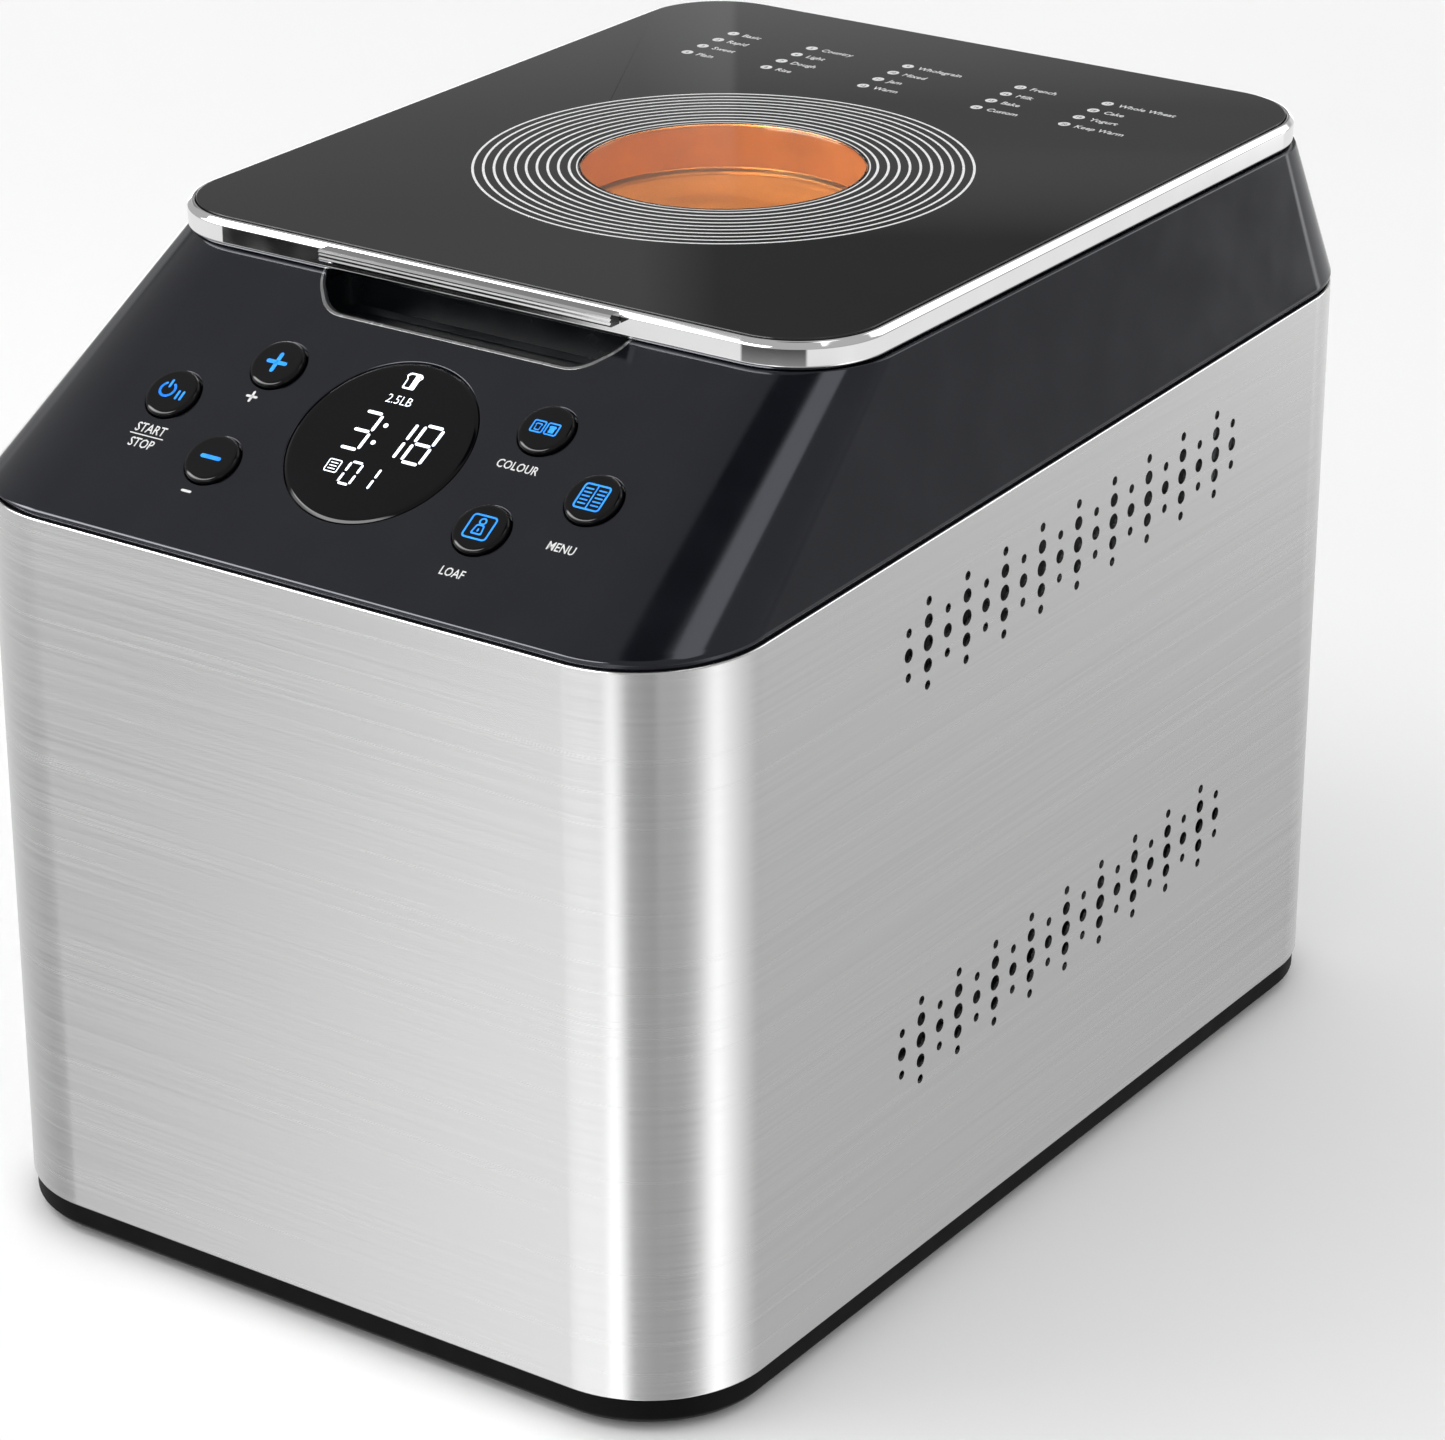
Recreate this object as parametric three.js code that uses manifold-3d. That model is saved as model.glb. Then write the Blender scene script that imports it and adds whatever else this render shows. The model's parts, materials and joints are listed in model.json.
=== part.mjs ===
// A free-standing bread machine in millimetres, +Z up, front (control slope) towards -Y.
// The origin is on the surface it stands on, under the middle of the body.

import * as THREE from 'three';
import { mergeVertices } from 'three/addons/utils/BufferGeometryUtils.js';
import Module from 'manifold-3d';

const wasm = await Module();
wasm.setup();

// ---------------------------------------------------------------- driving dimensions

const GAP = 0.3;                 // clearance between touching pieces
const CORNER_STEPS = 5;          // flat facets on each rounded corner

const BODY = { halfX: 127.5, halfY: 188, radius: 38 };
const STEEL = { bottom: 10.5, wall: 1, frontTop: 227, rise: 12 };
const TRAY = { bottom: 2.6, floor: 3, rim: 17, inset: 0.9 };
const FOOT = { radius: 10, x: 92, y: 150, stem: 3 };
const SEAM_GROOVE = 1.6;         // dark groove between the steel and the black top
const HOUSING_LIP = 0.9;         // upright edge of the black top above that groove
const HOUSING_WALL = 2.6;
const DECK_TOP = 283.2;
const LID = { halfX: 116.5, front: -105, back: 172, radius: 28, bottom: 283.5, top: 291.3 };
const MOUTH = { halfX: 104, front: -82, back: 150, radius: 30, collarBottom: 268 };
const CHAMBER = { halfX: 103, front: -78, back: 146, radius: 26, bottom: 43, top: 266, wall: 1 };
const SPINDLE_Y = (CHAMBER.front + CHAMBER.back) / 2;

const WINDOW = { radius: 42, y: 17 };
const HINGE = { y: 177, z: 284, knuckle: 4, pin: 1.5, inner: 62, outer: 78 };

const PAN = { halfX: 70, halfY: 86, radius: 24, taper: 5, bottom: 62, rim: 192, wall: 1.2 };
const BAIL = { reach: 76, halfY: 92.5, z: 184, wire: 2.4, bend: 14 };
const SHAFT_RADIUS = 5;
const COUPLER_BOTTOM = 48;
const PULLEY = { big: 44, small: 8, bottom: 20, top: 30 };
const MOTOR = { y: -128, radius: 35, bottom: 38.3, top: 108, shaft: 4 };
const CHASSIS = { halfX: 62, bottom: 36, top: 38 };
const HEATER = { halfX: 92, halfY: 99, z: 72, tube: 3.2, bend: 9, leadX: 12, leadLength: 14 };
const SENSOR = { y: 4, z: 100, radius: 3 };

const DISPLAY = { radius: 28, s: 49, depth: 1.9, opening: 22 };
const BUTTON = { radius: 8.2, hole: 8.5, flange: 9.3, dome: 2.6 };
const BUTTONS = [
  { name: 'button_start', x: -72, s: 47.5 },
  { name: 'button_plus', x: -46, s: 65 },
  { name: 'button_minus', x: -46, s: 30 },
  { name: 'button_crust', x: 46, s: 65 },
  { name: 'button_loaf', x: 46, s: 30 },
  { name: 'button_menu', x: 72, s: 47.5 },
];
const BOARD = { halfX: 84, bottom: 16, top: 76, depth: 9.4, thickness: 1.6 };

// The control slope is a plane from the front edge of the black top up to the lid's front edge.
const SLOPE_START = { y: -BODY.halfY, z: STEEL.frontTop + SEAM_GROOVE + HOUSING_LIP };
const SLOPE_END = { y: LID.front - 1.5, z: 281.4 };
const SLOPE = Math.atan2(SLOPE_END.z - SLOPE_START.z, SLOPE_END.y - SLOPE_START.y);

// ---------------------------------------------------------------- materials

const material = (color, roughness, metalness, extra = {}) =>
  new THREE.MeshStandardMaterial({ color, roughness, metalness, ...extra });

const LOOK = {
  steel: material(0xb9b7b4, 0.32, 1),
  chrome: material(0xe6e6e8, 0.08, 1),
  blackPlastic: material(0x1d1e22, 0.3, 0),
  mattePlastic: material(0x161617, 0.6, 0),
  blackGlass: material(0x0c0c0e, 0.06, 0),
  clearGlass: material(0x6b5a44, 0.05, 0, { transparent: true, opacity: 0.45 }),
  button: material(0x0d0e12, 0.12, 0),
  rubber: material(0x121212, 0.9, 0),
  galvanised: material(0x9da1a4, 0.45, 1),
  aluminium: material(0xc3c5c6, 0.4, 1),
  coating: material(0x6f6150, 0.5, 0.6),
  heater: material(0x4c4a46, 0.5, 0.9),
  board: material(0x1f5a35, 0.5, 0),
  component: material(0x2a2a2c, 0.45, 0),
  nylon: material(0xe2dfd5, 0.5, 0),
  belt: material(0x18181a, 0.85, 0),
  machined: material(0x8d9094, 0.3, 1),
};

// ---------------------------------------------------------------- shape helpers

function toSolid(geometry) {
  const bare = geometry.index ? geometry.toNonIndexed() : geometry;
  bare.deleteAttribute('normal');
  bare.deleteAttribute('uv');
  const merged = mergeVertices(bare, 1e-4);
  return new wasm.Manifold(new wasm.Mesh({
    numProp: 3,
    vertProperties: new Float32Array(merged.attributes.position.array),
    triVerts: new Uint32Array(merged.index.array),
  }));
}

function toGeometry(solid) {
  const { vertProperties, triVerts } = solid.getMesh();
  const geometry = new THREE.BufferGeometry();
  geometry.setAttribute('position', new THREE.BufferAttribute(vertProperties, 3));
  geometry.setIndex(new THREE.BufferAttribute(triVerts, 1));
  return geometry;
}

const join = (...solids) => solids.reduce((sum, solid) => sum.add(solid));
const cut = (solid, ...cutters) => cutters.reduce((rest, cutter) => rest.subtract(cutter), solid);

// Outline of a rectangle with rounded corners, counter-clockwise.
function roundedRect(halfX, front, back, radius, steps = CORNER_STEPS) {
  const corners = [
    [halfX - radius, front + radius, -90],
    [halfX - radius, back - radius, 0],
    [radius - halfX, back - radius, 90],
    [radius - halfX, front + radius, 180],
  ];
  return corners.flatMap(([x, y, start]) => Array.from({ length: steps + 1 }, (_, i) => {
    const angle = THREE.MathUtils.degToRad(start + (90 * i) / steps);
    return new THREE.Vector2(x + radius * Math.cos(angle), y + radius * Math.sin(angle));
  }));
}

// Outline through [x, y] corners in order, each one rounded by a quadratic curve.
function roundedPolygon(points, radius, steps = 4) {
  const at = (i) => new THREE.Vector2(...points[(i + points.length) % points.length]);
  return points.flatMap((_, i) => {
    const corner = at(i);
    const towards = (other) => corner.clone().add(other.sub(corner).setLength(radius));
    const curve = new THREE.QuadraticBezierCurve(towards(at(i - 1)), corner, towards(at(i + 1)));
    return curve.getPoints(steps);
  });
}

function prism(outline, bottom, top) {
  const geometry = new THREE.ExtrudeGeometry(new THREE.Shape(outline), {
    depth: top - bottom,
    bevelEnabled: false,
  });
  geometry.translate(0, 0, bottom);
  return toSolid(geometry);
}

// A prism along X whose section is drawn in the YZ plane.
function sidePrism(outline, from, to) {
  const section = new THREE.Shape(outline.map(([y, z]) => new THREE.Vector2(y, z)));
  const geometry = new THREE.ExtrudeGeometry(section, { depth: to - from, bevelEnabled: false });
  geometry.applyMatrix4(new THREE.Matrix4().makeBasis(
    new THREE.Vector3(0, 1, 0),
    new THREE.Vector3(0, 0, 1),
    new THREE.Vector3(1, 0, 0),
  ));
  geometry.translate(from, 0, 0);
  return toSolid(geometry);
}

function block(x0, x1, y0, y1, z0, z1) {
  const geometry = new THREE.BoxGeometry(x1 - x0, y1 - y0, z1 - z0);
  geometry.translate((x0 + x1) / 2, (y0 + y1) / 2, (z0 + z1) / 2);
  return toSolid(geometry);
}

// A turned shape: profile points are [radius, height], around a vertical axis through (x, y).
function turned(profile, steps = 32, x = 0, y = 0) {
  const points = profile.map(([radius, height]) => new THREE.Vector2(radius, height));
  const geometry = new THREE.LatheGeometry(points, steps);
  geometry.rotateX(Math.PI / 2);
  geometry.translate(x, y, 0);
  return toSolid(geometry);
}

const rod = (radius, bottom, top, x = 0, y = 0, steps = 24) =>
  turned([[0, bottom], [radius, bottom], [radius, top], [0, top]], steps, x, y);

const tubeRing = (inner, outer, bottom, top, x = 0, y = 0, steps = 32) =>
  turned([[inner, bottom], [outer, bottom], [outer, top], [inner, top], [inner, bottom]], steps, x, y);

// A solid between matching outlines, given as rows of [x, y, z] points from bottom to top.
function loft(rows) {
  const count = rows[0].length;
  const positions = rows.flat(2);
  const centre = (row) => row.reduce((sum, p) => sum.map((v, k) => v + p[k] / count), [0, 0, 0]);
  positions.push(...centre(rows[0]), ...centre(rows[rows.length - 1]));
  const bottomCentre = rows.length * count;
  const lastRow = (rows.length - 1) * count;
  const triangles = [];
  for (let i = 0; i < count; i += 1) {
    const next = (i + 1) % count;
    for (let row = 0; row < lastRow; row += count) {
      triangles.push(row + i, row + next, row + count + next);
      triangles.push(row + i, row + count + next, row + count + i);
    }
    triangles.push(bottomCentre, next, i);
    triangles.push(bottomCentre + 1, lastRow + i, lastRow + next);
  }
  const geometry = new THREE.BufferGeometry();
  geometry.setAttribute('position', new THREE.BufferAttribute(new Float32Array(positions), 3));
  geometry.setIndex(triangles);
  return toSolid(geometry);
}

const level = (outline, height) => outline.map((p) => [p.x, p.y, height]);
const seamHeight = (y) => STEEL.frontTop + (STEEL.rise * (y + BODY.halfY)) / (2 * BODY.halfY);
const alongSeam = (outline, above) => outline.map((p) => [p.x, p.y, seamHeight(p.y) + above]);

// A round bar of the given radius along a smooth path.
function sweptBar(curve, radius, steps, sides = 10) {
  const section = new THREE.Shape(Array.from({ length: sides }, (_, i) => {
    const angle = (2 * Math.PI * i) / sides;
    return new THREE.Vector2(radius * Math.cos(angle), radius * Math.sin(angle));
  }));
  return toSolid(new THREE.ExtrudeGeometry(section, { steps, extrudePath: curve, bevelEnabled: false }));
}

// A path of straight runs joined by round bends, all at one height.
function bentPath(corners, bend, height) {
  const path = new THREE.CurvePath();
  const at = (p) => new THREE.Vector3(p.x, p.y, height);
  let from = corners[0];
  for (let i = 1; i < corners.length - 1; i += 1) {
    const into = corners[i].clone().sub(corners[i - 1]).normalize();
    const out = corners[i + 1].clone().sub(corners[i]).normalize();
    const start = corners[i].clone().addScaledVector(into, -bend);
    const end = corners[i].clone().addScaledVector(out, bend);
    path.add(new THREE.LineCurve3(at(from), at(start)));
    path.add(new THREE.QuadraticBezierCurve3(at(start), at(corners[i]), at(end)));
    from = end;
  }
  path.add(new THREE.LineCurve3(at(from), at(corners[corners.length - 1])));
  return path;
}

// ---------------------------------------------------------------- the assembly

const group = new THREE.Group();

// Pieces on the control slope are drawn in its own frame: x across, y up the slope, z outwards.
const slopeGroup = new THREE.Group();
slopeGroup.position.set(0, SLOPE_START.y, SLOPE_START.z);
slopeGroup.rotation.x = SLOPE;
slopeGroup.updateMatrixWorld();
group.add(slopeGroup);
const onSlope = (solid) => solid.transform(slopeGroup.matrixWorld.elements);

function place(name, solid, look, parent = group) {
  const mesh = new THREE.Mesh(toGeometry(solid), look.clone());
  mesh.name = name;
  parent.add(mesh);
}

const ring = (outer, inner, bottom, top) =>
  cut(prism(outer, bottom, top), prism(inner, bottom - 1, top + 1));
const bodyOutline = (inset) => roundedRect(
  BODY.halfX - inset,
  inset - BODY.halfY,
  BODY.halfY - inset,
  BODY.radius - inset,
);
const lidOutline = (inset) => roundedRect(
  LID.halfX - inset,
  LID.front + inset,
  LID.back - inset,
  LID.radius - inset,
);
const mouthOutline = (inset) => roundedRect(
  MOUTH.halfX - inset,
  MOUTH.front + inset,
  MOUTH.back - inset,
  MOUTH.radius - inset,
);
const corners = (x, y) => [[-x, -y], [x, -y], [-x, y], [x, y]];

// ---------------------------------------------------------------- base, feet and outer case

const BOARD_POSTS = [[70, -160], [108, -150], [70, -97], [107, -97]];

function baseTray() {
  const top = STEEL.bottom - GAP;
  const floorTop = TRAY.bottom + TRAY.floor;
  const pan = cut(
    prism(bodyOutline(TRAY.inset), TRAY.bottom, top),
    prism(bodyOutline(4.4), floorTop, top + 1),
  );
  const locatingRim = ring(bodyOutline(STEEL.wall + GAP), bodyOutline(4.4), floorTop - 1, TRAY.rim);
  const posts = BOARD_POSTS.map(([x, y]) => rod(3, floorTop - 1, 13.7, x, y, 12));
  const stemHoles = corners(FOOT.x, FOOT.y).map(([x, y]) => rod(FOOT.stem + GAP, 0, 9, x, y, 16));
  place('base_tray', cut(join(pan, locatingRim, ...posts), ...stemHoles), LOOK.mattePlastic);
}

function feet() {
  const names = ['foot_front_left', 'foot_front_right', 'foot_rear_left', 'foot_rear_right'];
  corners(FOOT.x, FOOT.y).forEach(([x, y], i) => {
    const profile = [
      [0, 0], [FOOT.radius - 1, 0], [FOOT.radius, 1], [FOOT.radius, 2.3],
      [FOOT.stem, 2.3], [FOOT.stem, 5.9], [4.2, 6], [2.4, 8], [0, 8],
    ];
    place(names[i], turned(profile, 14, x, y), LOOK.rubber);
  });
}

const REAR_OPENING = { halfX: 76, bottom: 24, top: 206 };

function steelWrap() {
  const shell = ring(bodyOutline(0), bodyOutline(STEEL.wall), STEEL.bottom, 250);
  const aboveSeam = sidePrism([
    [-200, seamHeight(-200)], [200, seamHeight(200)], [200, 300], [-200, 300],
  ], -140, 140);
  const { halfX, bottom, top } = REAR_OPENING;
  const rearOpening = block(-halfX, halfX, BODY.halfY - 8, BODY.halfY + 2, bottom, top);
  place('steel_wrap', cut(shell, aboveSeam, rearOpening), LOOK.steel);
}

const GLAND = { x: -52, z: 42, bore: 3.6, body: 8 };
const REAR_SCREWS = [32, 198].flatMap((z) => [[-70, z], [70, z]]);

function alongY(solid) {
  return solid.rotate([-90, 0, 0]);
}

function rearPanel() {
  const plate = block(-88, 88, 185, 186.6, TRAY.rim + 0.4, 218);
  const hole = alongY(rod(GLAND.body + GAP, 180, 190)).translate([GLAND.x, 0, GLAND.z]);
  place('rear_panel', cut(plate, hole), LOOK.galvanised);
  const gland = alongY(turned([
    [GLAND.bore, 174], [6, 174], [GLAND.body, 177], [GLAND.body, 186.9],
    [11, 186.9], [11, 187.9], [GLAND.bore, 187.9], [GLAND.bore, 174],
  ], 24)).translate([GLAND.x, 0, GLAND.z]);
  place('cord_gland', gland, LOOK.mattePlastic);
  const head = alongY(turned([[0, 186.9], [3.6, 186.9], [3.2, 188], [0, 188]], 16));
  REAR_SCREWS.forEach(([x, z], i) => {
    place(`rear_screw_${i + 1}`, head.translate([x, 0, z]), LOOK.machined);
  });
}

// ---------------------------------------------------------------- black top housing

function housingShell() {
  const lip = SEAM_GROOVE + HOUSING_LIP;
  const outer = loft([
    alongSeam(bodyOutline(0), SEAM_GROOVE),
    alongSeam(bodyOutline(0), lip),
    level(lidOutline(-1.5), SLOPE_END.z),
    level(lidOutline(0.4), DECK_TOP),
  ]);
  const wall = HOUSING_WALL;
  const inner = loft([
    alongSeam(bodyOutline(wall), -20),
    alongSeam(bodyOutline(wall), lip - 1.4),
    level(roundedRect(LID.halfX - 2, LID.front + 2.5, LID.back - 2, LID.radius - 3), DECK_TOP - wall),
  ]);
  return { inner, shell: cut(outer, inner) };
}

function skirt() {
  const outline = bodyOutline(STEEL.wall + GAP + 0.2);
  const inside = bodyOutline(4);
  const rows = (points) => [alongSeam(points, -9), alongSeam(points, SEAM_GROOVE + 3)];
  return cut(loft(rows(outline)), loft([alongSeam(inside, -10), alongSeam(inside, SEAM_GROOVE + 4)]));
}

// The finger recess under the lid's front edge widens between its front and its shoulders.
const POCKET = {
  frontHalfX: 42, halfX: 52, front: -114.4, shoulder: -105, back: -93, bottom: 269, radius: 5, wall: 1.8,
};

function pocketOutline(grow) {
  const { frontHalfX, halfX, front, shoulder, back, radius } = POCKET;
  const right = [
    [frontHalfX + grow, front - grow],
    [halfX + grow, shoulder - grow / 2],
    [halfX + grow, back + grow],
  ];
  const left = right.map(([x, y]) => [-x, y]).reverse();
  return roundedPolygon([...right, ...left], radius + grow / 2);
}

// The recess is lined by a tub of its own, which sits just under the black top's skin.
function fingerPocket(underSkin) {
  const outside = prism(pocketOutline(POCKET.wall), POCKET.bottom - POCKET.wall, DECK_TOP);
  const hollow = prism(pocketOutline(0), POCKET.bottom, DECK_TOP + 1);
  const tub = outside.intersect(underSkin.translate([0, 0, -GAP]));
  place('finger_pocket', cut(tub, hollow), LOOK.blackPlastic);
}

const BOARD_MOUNTS = [[-80, 22], [80, 22], [-60, 72], [60, 72]];

function topHousing() {
  const { inner, shell } = housingShell();
  const collar = ring(mouthOutline(-2), mouthOutline(0), MOUTH.collarBottom, DECK_TOP - 1);
  const mouth = prism(mouthOutline(0), DECK_TOP - 10, DECK_TOP + 10);
  const pocketHole = prism(pocketOutline(0), POCKET.bottom - 10, DECK_TOP + 20);
  const holes = BUTTONS.map(({ x, s }) => onSlope(rod(BUTTON.hole, -8, 8, x, s, 16)));
  const displaySeat = onSlope(rod(DISPLAY.radius + GAP, -DISPLAY.depth, 8, 0, DISPLAY.s, 32));
  const displayOpening = onSlope(rod(DISPLAY.opening, -8, 8, 0, DISPLAY.s, 24));
  const posts = BOARD_MOUNTS.map(([x, s]) => onSlope(rod(3, -BOARD.depth + GAP, -2, x, s, 12)));
  const body = join(cut(shell, mouth), collar, skirt(), ...posts);
  place('top_housing', cut(body, pocketHole, displaySeat, displayOpening, ...holes), LOOK.blackPlastic);
  fingerPocket(inner);
}

// ---------------------------------------------------------------- controls on the slope

function displayPieces() {
  const profile = [
    [0, GAP - DISPLAY.depth], [DISPLAY.radius, GAP - DISPLAY.depth],
    [DISPLAY.radius, 0], [DISPLAY.radius - 0.4, 0.3], [0, 0.3],
  ];
  place('display_window', turned(profile, 32, 0, DISPLAY.s), LOOK.blackGlass, slopeGroup);
  const moduleTop = -4;
  const module = block(-21, 21, DISPLAY.s - 16, DISPLAY.s + 16, GAP - BOARD.depth, moduleTop);
  place('display_module', module, LOOK.component, slopeGroup);
}

function button({ name, x, s }) {
  const { radius, flange, dome } = BUTTON;
  const crown = Array.from({ length: 4 }, (_, i) => {
    const t = (i / 3) * (Math.PI / 2);
    return [radius * Math.cos(t), 0.6 + (dome - 0.6) * Math.sin(t)];
  });
  crown[3][0] = 0;
  const profile = [
    [0, -5.1], [1.5, -5.1], [1.5, -4.6], [flange, -4.6], [flange, -3], [radius, -3], ...crown,
  ];
  place(name, turned(profile, 16, x, s), LOOK.button, slopeGroup);
}

function controlBoard() {
  const bottom = -BOARD.depth - BOARD.thickness;
  const plate = block(-BOARD.halfX, BOARD.halfX, BOARD.bottom, BOARD.top, bottom, -BOARD.depth);
  const switches = BUTTONS.map(({ x, s }) => join(
    block(x - 3, x + 3, s - 3, s + 3, -BOARD.depth - 0.5, -7),
    rod(1.6, -7.5, -6.3, x, s, 12),
  ));
  place('control_board', join(plate, ...switches), LOOK.board, slopeGroup);
}

// ---------------------------------------------------------------- baking chamber

const chamberOutline = (inset) => roundedRect(
  CHAMBER.halfX - inset,
  CHAMBER.front + inset,
  CHAMBER.back - inset,
  CHAMBER.radius - inset,
);

function alongX(solid) {
  return solid.rotate([0, 90, 0]);
}

// Clips welded to the chamber's walls, which hold the heater in place.
function heaterClips() {
  const { halfX, halfY, tube, z } = HEATER;
  const near = tube + GAP;
  const wallX = CHAMBER.halfX - CHAMBER.wall / 2;
  const wallY = CHAMBER.back - CHAMBER.wall / 2;
  return [
    block(halfX + near, wallX, SPINDLE_Y - 5, SPINDLE_Y + 5, z - 6, z + 6),
    block(-wallX, -halfX - near, SPINDLE_Y - 5, SPINDLE_Y + 5, z - 6, z + 6),
    block(-5, 5, SPINDLE_Y + halfY + near, wallY, z - 6, z + 6),
  ];
}

function ovenChamber() {
  const { bottom, top, wall } = CHAMBER;
  const hollow = prism(chamberOutline(wall), bottom + wall, top + 1);
  const flange = ring(chamberOutline(-5), chamberOutline(0.5), top - 1, top);
  const walls = join(cut(prism(chamberOutline(0), bottom, top), hollow), flange, ...heaterClips());
  const shaftHole = rod(9, bottom - 1, bottom + 2, 0, SPINDLE_Y, 24);
  const leadHole = alongY(rod(HEATER.tube + 0.8, CHAMBER.front - 2, CHAMBER.front + 3, 0, 0, 12));
  const leadHoles = [-1, 1].map((side) => leadHole.translate([side * HEATER.leadX, 0, HEATER.z]));
  const sensorHole = alongX(rod(SENSOR.radius + GAP, 98, 106, 0, 0, 12)).translate([0, SENSOR.y, SENSOR.z]);
  place('oven_chamber', cut(walls, shaftHole, ...leadHoles, sensorHole), LOOK.aluminium);
}

function chamberBrackets() {
  const near = CHAMBER.halfX + GAP;
  const foot = TRAY.bottom + TRAY.floor + GAP;
  const leg = join(
    block(near, near + 1.8, SPINDLE_Y - 28, SPINDLE_Y + 28, foot, 84),
    block(near, near + 14, SPINDLE_Y - 28, SPINDLE_Y + 28, foot, foot + 1.8),
  );
  const drilled = cut(leg, rod(2.2, 0, 12, 111, SPINDLE_Y, 12));
  place('chamber_bracket_right', drilled, LOOK.galvanised);
  place('chamber_bracket_left', drilled.mirror([1, 0, 0]), LOOK.galvanised);
}

function heaterElement() {
  const { halfX, halfY, leadX, z } = HEATER;
  const front = SPINDLE_Y - halfY;
  const back = SPINDLE_Y + halfY;
  const lead = CHAMBER.front - HEATER.leadLength;
  const points = [
    [-leadX, lead], [-leadX, front], [-halfX, front], [-halfX, back],
    [halfX, back], [halfX, front], [leadX, front], [leadX, lead],
  ].map(([x, y]) => new THREE.Vector2(x, y));
  const path = bentPath(points, HEATER.bend, z);
  place('heater_element', sweptBar(path, HEATER.tube, 64, 6), LOOK.heater);
}

function temperatureSensor() {
  const profile = [
    [0, 93], [SENSOR.radius - 0.5, 93.5], [SENSOR.radius, 94], [SENSOR.radius, 103.4],
    [7, 103.4], [7, 105], [2.4, 105], [2.4, 112], [0, 112],
  ];
  const probe = alongX(turned(profile, 16)).translate([0, SENSOR.y, SENSOR.z]);
  place('temperature_sensor', probe, LOOK.machined);
}

const LUG = { inner: 41, outer: 46.5, span: 14, bottom: 49.5, top: 53.5 };
const SEAT = { inner: 43, outer: 54, bottom: 44.3, top: 57, pocket: 48, pocketSpan: 32 };
const LUG_ANGLES = [45, 135, 225, 315];

// A sector of a ring between two radii, from one angle to another, around the spindle.
function sector(inner, outer, from, to, bottom, top) {
  const steps = 6;
  const arc = (radius, start, end) => Array.from({ length: steps + 1 }, (_, i) => {
    const angle = THREE.MathUtils.degToRad(start + ((end - start) * i) / steps);
    return new THREE.Vector2(radius * Math.cos(angle), SPINDLE_Y + radius * Math.sin(angle));
  });
  return prism([...arc(outer, from, to), ...arc(inner, to, from)], bottom, top);
}

function panSeat() {
  const seat = tubeRing(SEAT.inner, SEAT.outer, SEAT.bottom, SEAT.top, 0, SPINDLE_Y, 40);
  const low = LUG.bottom - 0.6;
  const pockets = LUG_ANGLES.map((angle) => {
    const start = angle - LUG.span / 2 - 3;
    return sector(SEAT.inner - 2, SEAT.pocket, start, start + SEAT.pocketSpan, low, SEAT.top + 1);
  });
  place('pan_seat', cut(seat, ...pockets), LOOK.aluminium);
}

// ---------------------------------------------------------------- drive under the chamber

function chassisPlate() {
  const { halfX, bottom, top } = CHASSIS;
  const plate = block(-halfX, halfX, -172, 96, bottom, top);
  const foot = TRAY.bottom + TRAY.floor + GAP;
  const legs = [[-165, -135], [-70, -45], [66, 96]].flatMap(([y0, y1]) => [-1, 1].flatMap((side) => {
    const x = side * (halfX - 1);
    const toe = side * (halfX - 8);
    return [
      block(x - 1, x + 1, y0, y1, foot, bottom + 1),
      block(Math.min(x, toe) - 1, Math.max(x, toe) + 1, y0, y1, foot, foot + 2),
    ];
  }));
  const bearingHole = rod(17, bottom - 1, top + 1, 0, SPINDLE_Y, 32);
  const shaftHole = rod(9, bottom - 1, top + 1, 0, MOTOR.y, 24);
  place('chassis_plate', cut(join(plate, ...legs), bearingHole, shaftHole), LOOK.galvanised);
}

function bearingHousing() {
  const bore = SHAFT_RADIUS + GAP;
  const profile = [
    [bore, 31.5], [16, 31.5], [16, 38.3], [24, 38.3], [24, 42.7],
    [8.6, 42.7], [8.6, 46.5], [bore, 46.5], [bore, 31.5],
  ];
  place('bearing_housing', turned(profile, 24, 0, SPINDLE_Y), LOOK.aluminium);
}

function driveTrain() {
  const bore = SHAFT_RADIUS + GAP;
  place('drive_shaft', rod(SHAFT_RADIUS, 15, 52, 0, SPINDLE_Y, 24), LOOK.machined);
  const disc = tubeRing(bore, 14, COUPLER_BOTTOM, 53, 0, SPINDLE_Y, 32);
  const dog = block(6, 12, 3, 8, 52, 57.5);
  const dogs = [dog, dog.rotate([0, 0, 180])].map((solid) => solid.translate([0, SPINDLE_Y, 0]));
  place('drive_coupler', join(disc, ...dogs), LOOK.machined);
  const { big, bottom, top } = PULLEY;
  const wheel = turned([
    [bore, bottom - 2], [11, bottom - 2], [11, 23.5], [big - 4, 23.5], [big - 4, bottom], [big + 3, bottom],
    [big + 3, bottom + 1], [big, bottom + 1], [big, top - 1], [big + 3, top - 1], [big + 3, top],
    [big - 4, top], [big - 4, 26.5], [11, 26.5], [11, top], [bore, top], [bore, bottom - 2],
  ], 32, 0, SPINDLE_Y);
  place('drive_pulley', wheel, LOOK.nylon);
}

// The loop that hugs both pulleys: two arcs joined by their common tangents.
function beltOutline(bigRadius, smallRadius) {
  const tilt = Math.asin((bigRadius - smallRadius) / (SPINDLE_Y - MOTOR.y));
  const arc = (radius, y, start, end, steps) => Array.from({ length: steps + 1 }, (_, i) => {
    const angle = start + ((end - start) * i) / steps;
    return new THREE.Vector2(radius * Math.cos(angle), y + radius * Math.sin(angle));
  });
  return [
    ...arc(bigRadius, SPINDLE_Y, -tilt, Math.PI + tilt, 20),
    ...arc(smallRadius, MOTOR.y, Math.PI + tilt, 2 * Math.PI - tilt, 8),
  ];
}

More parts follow.
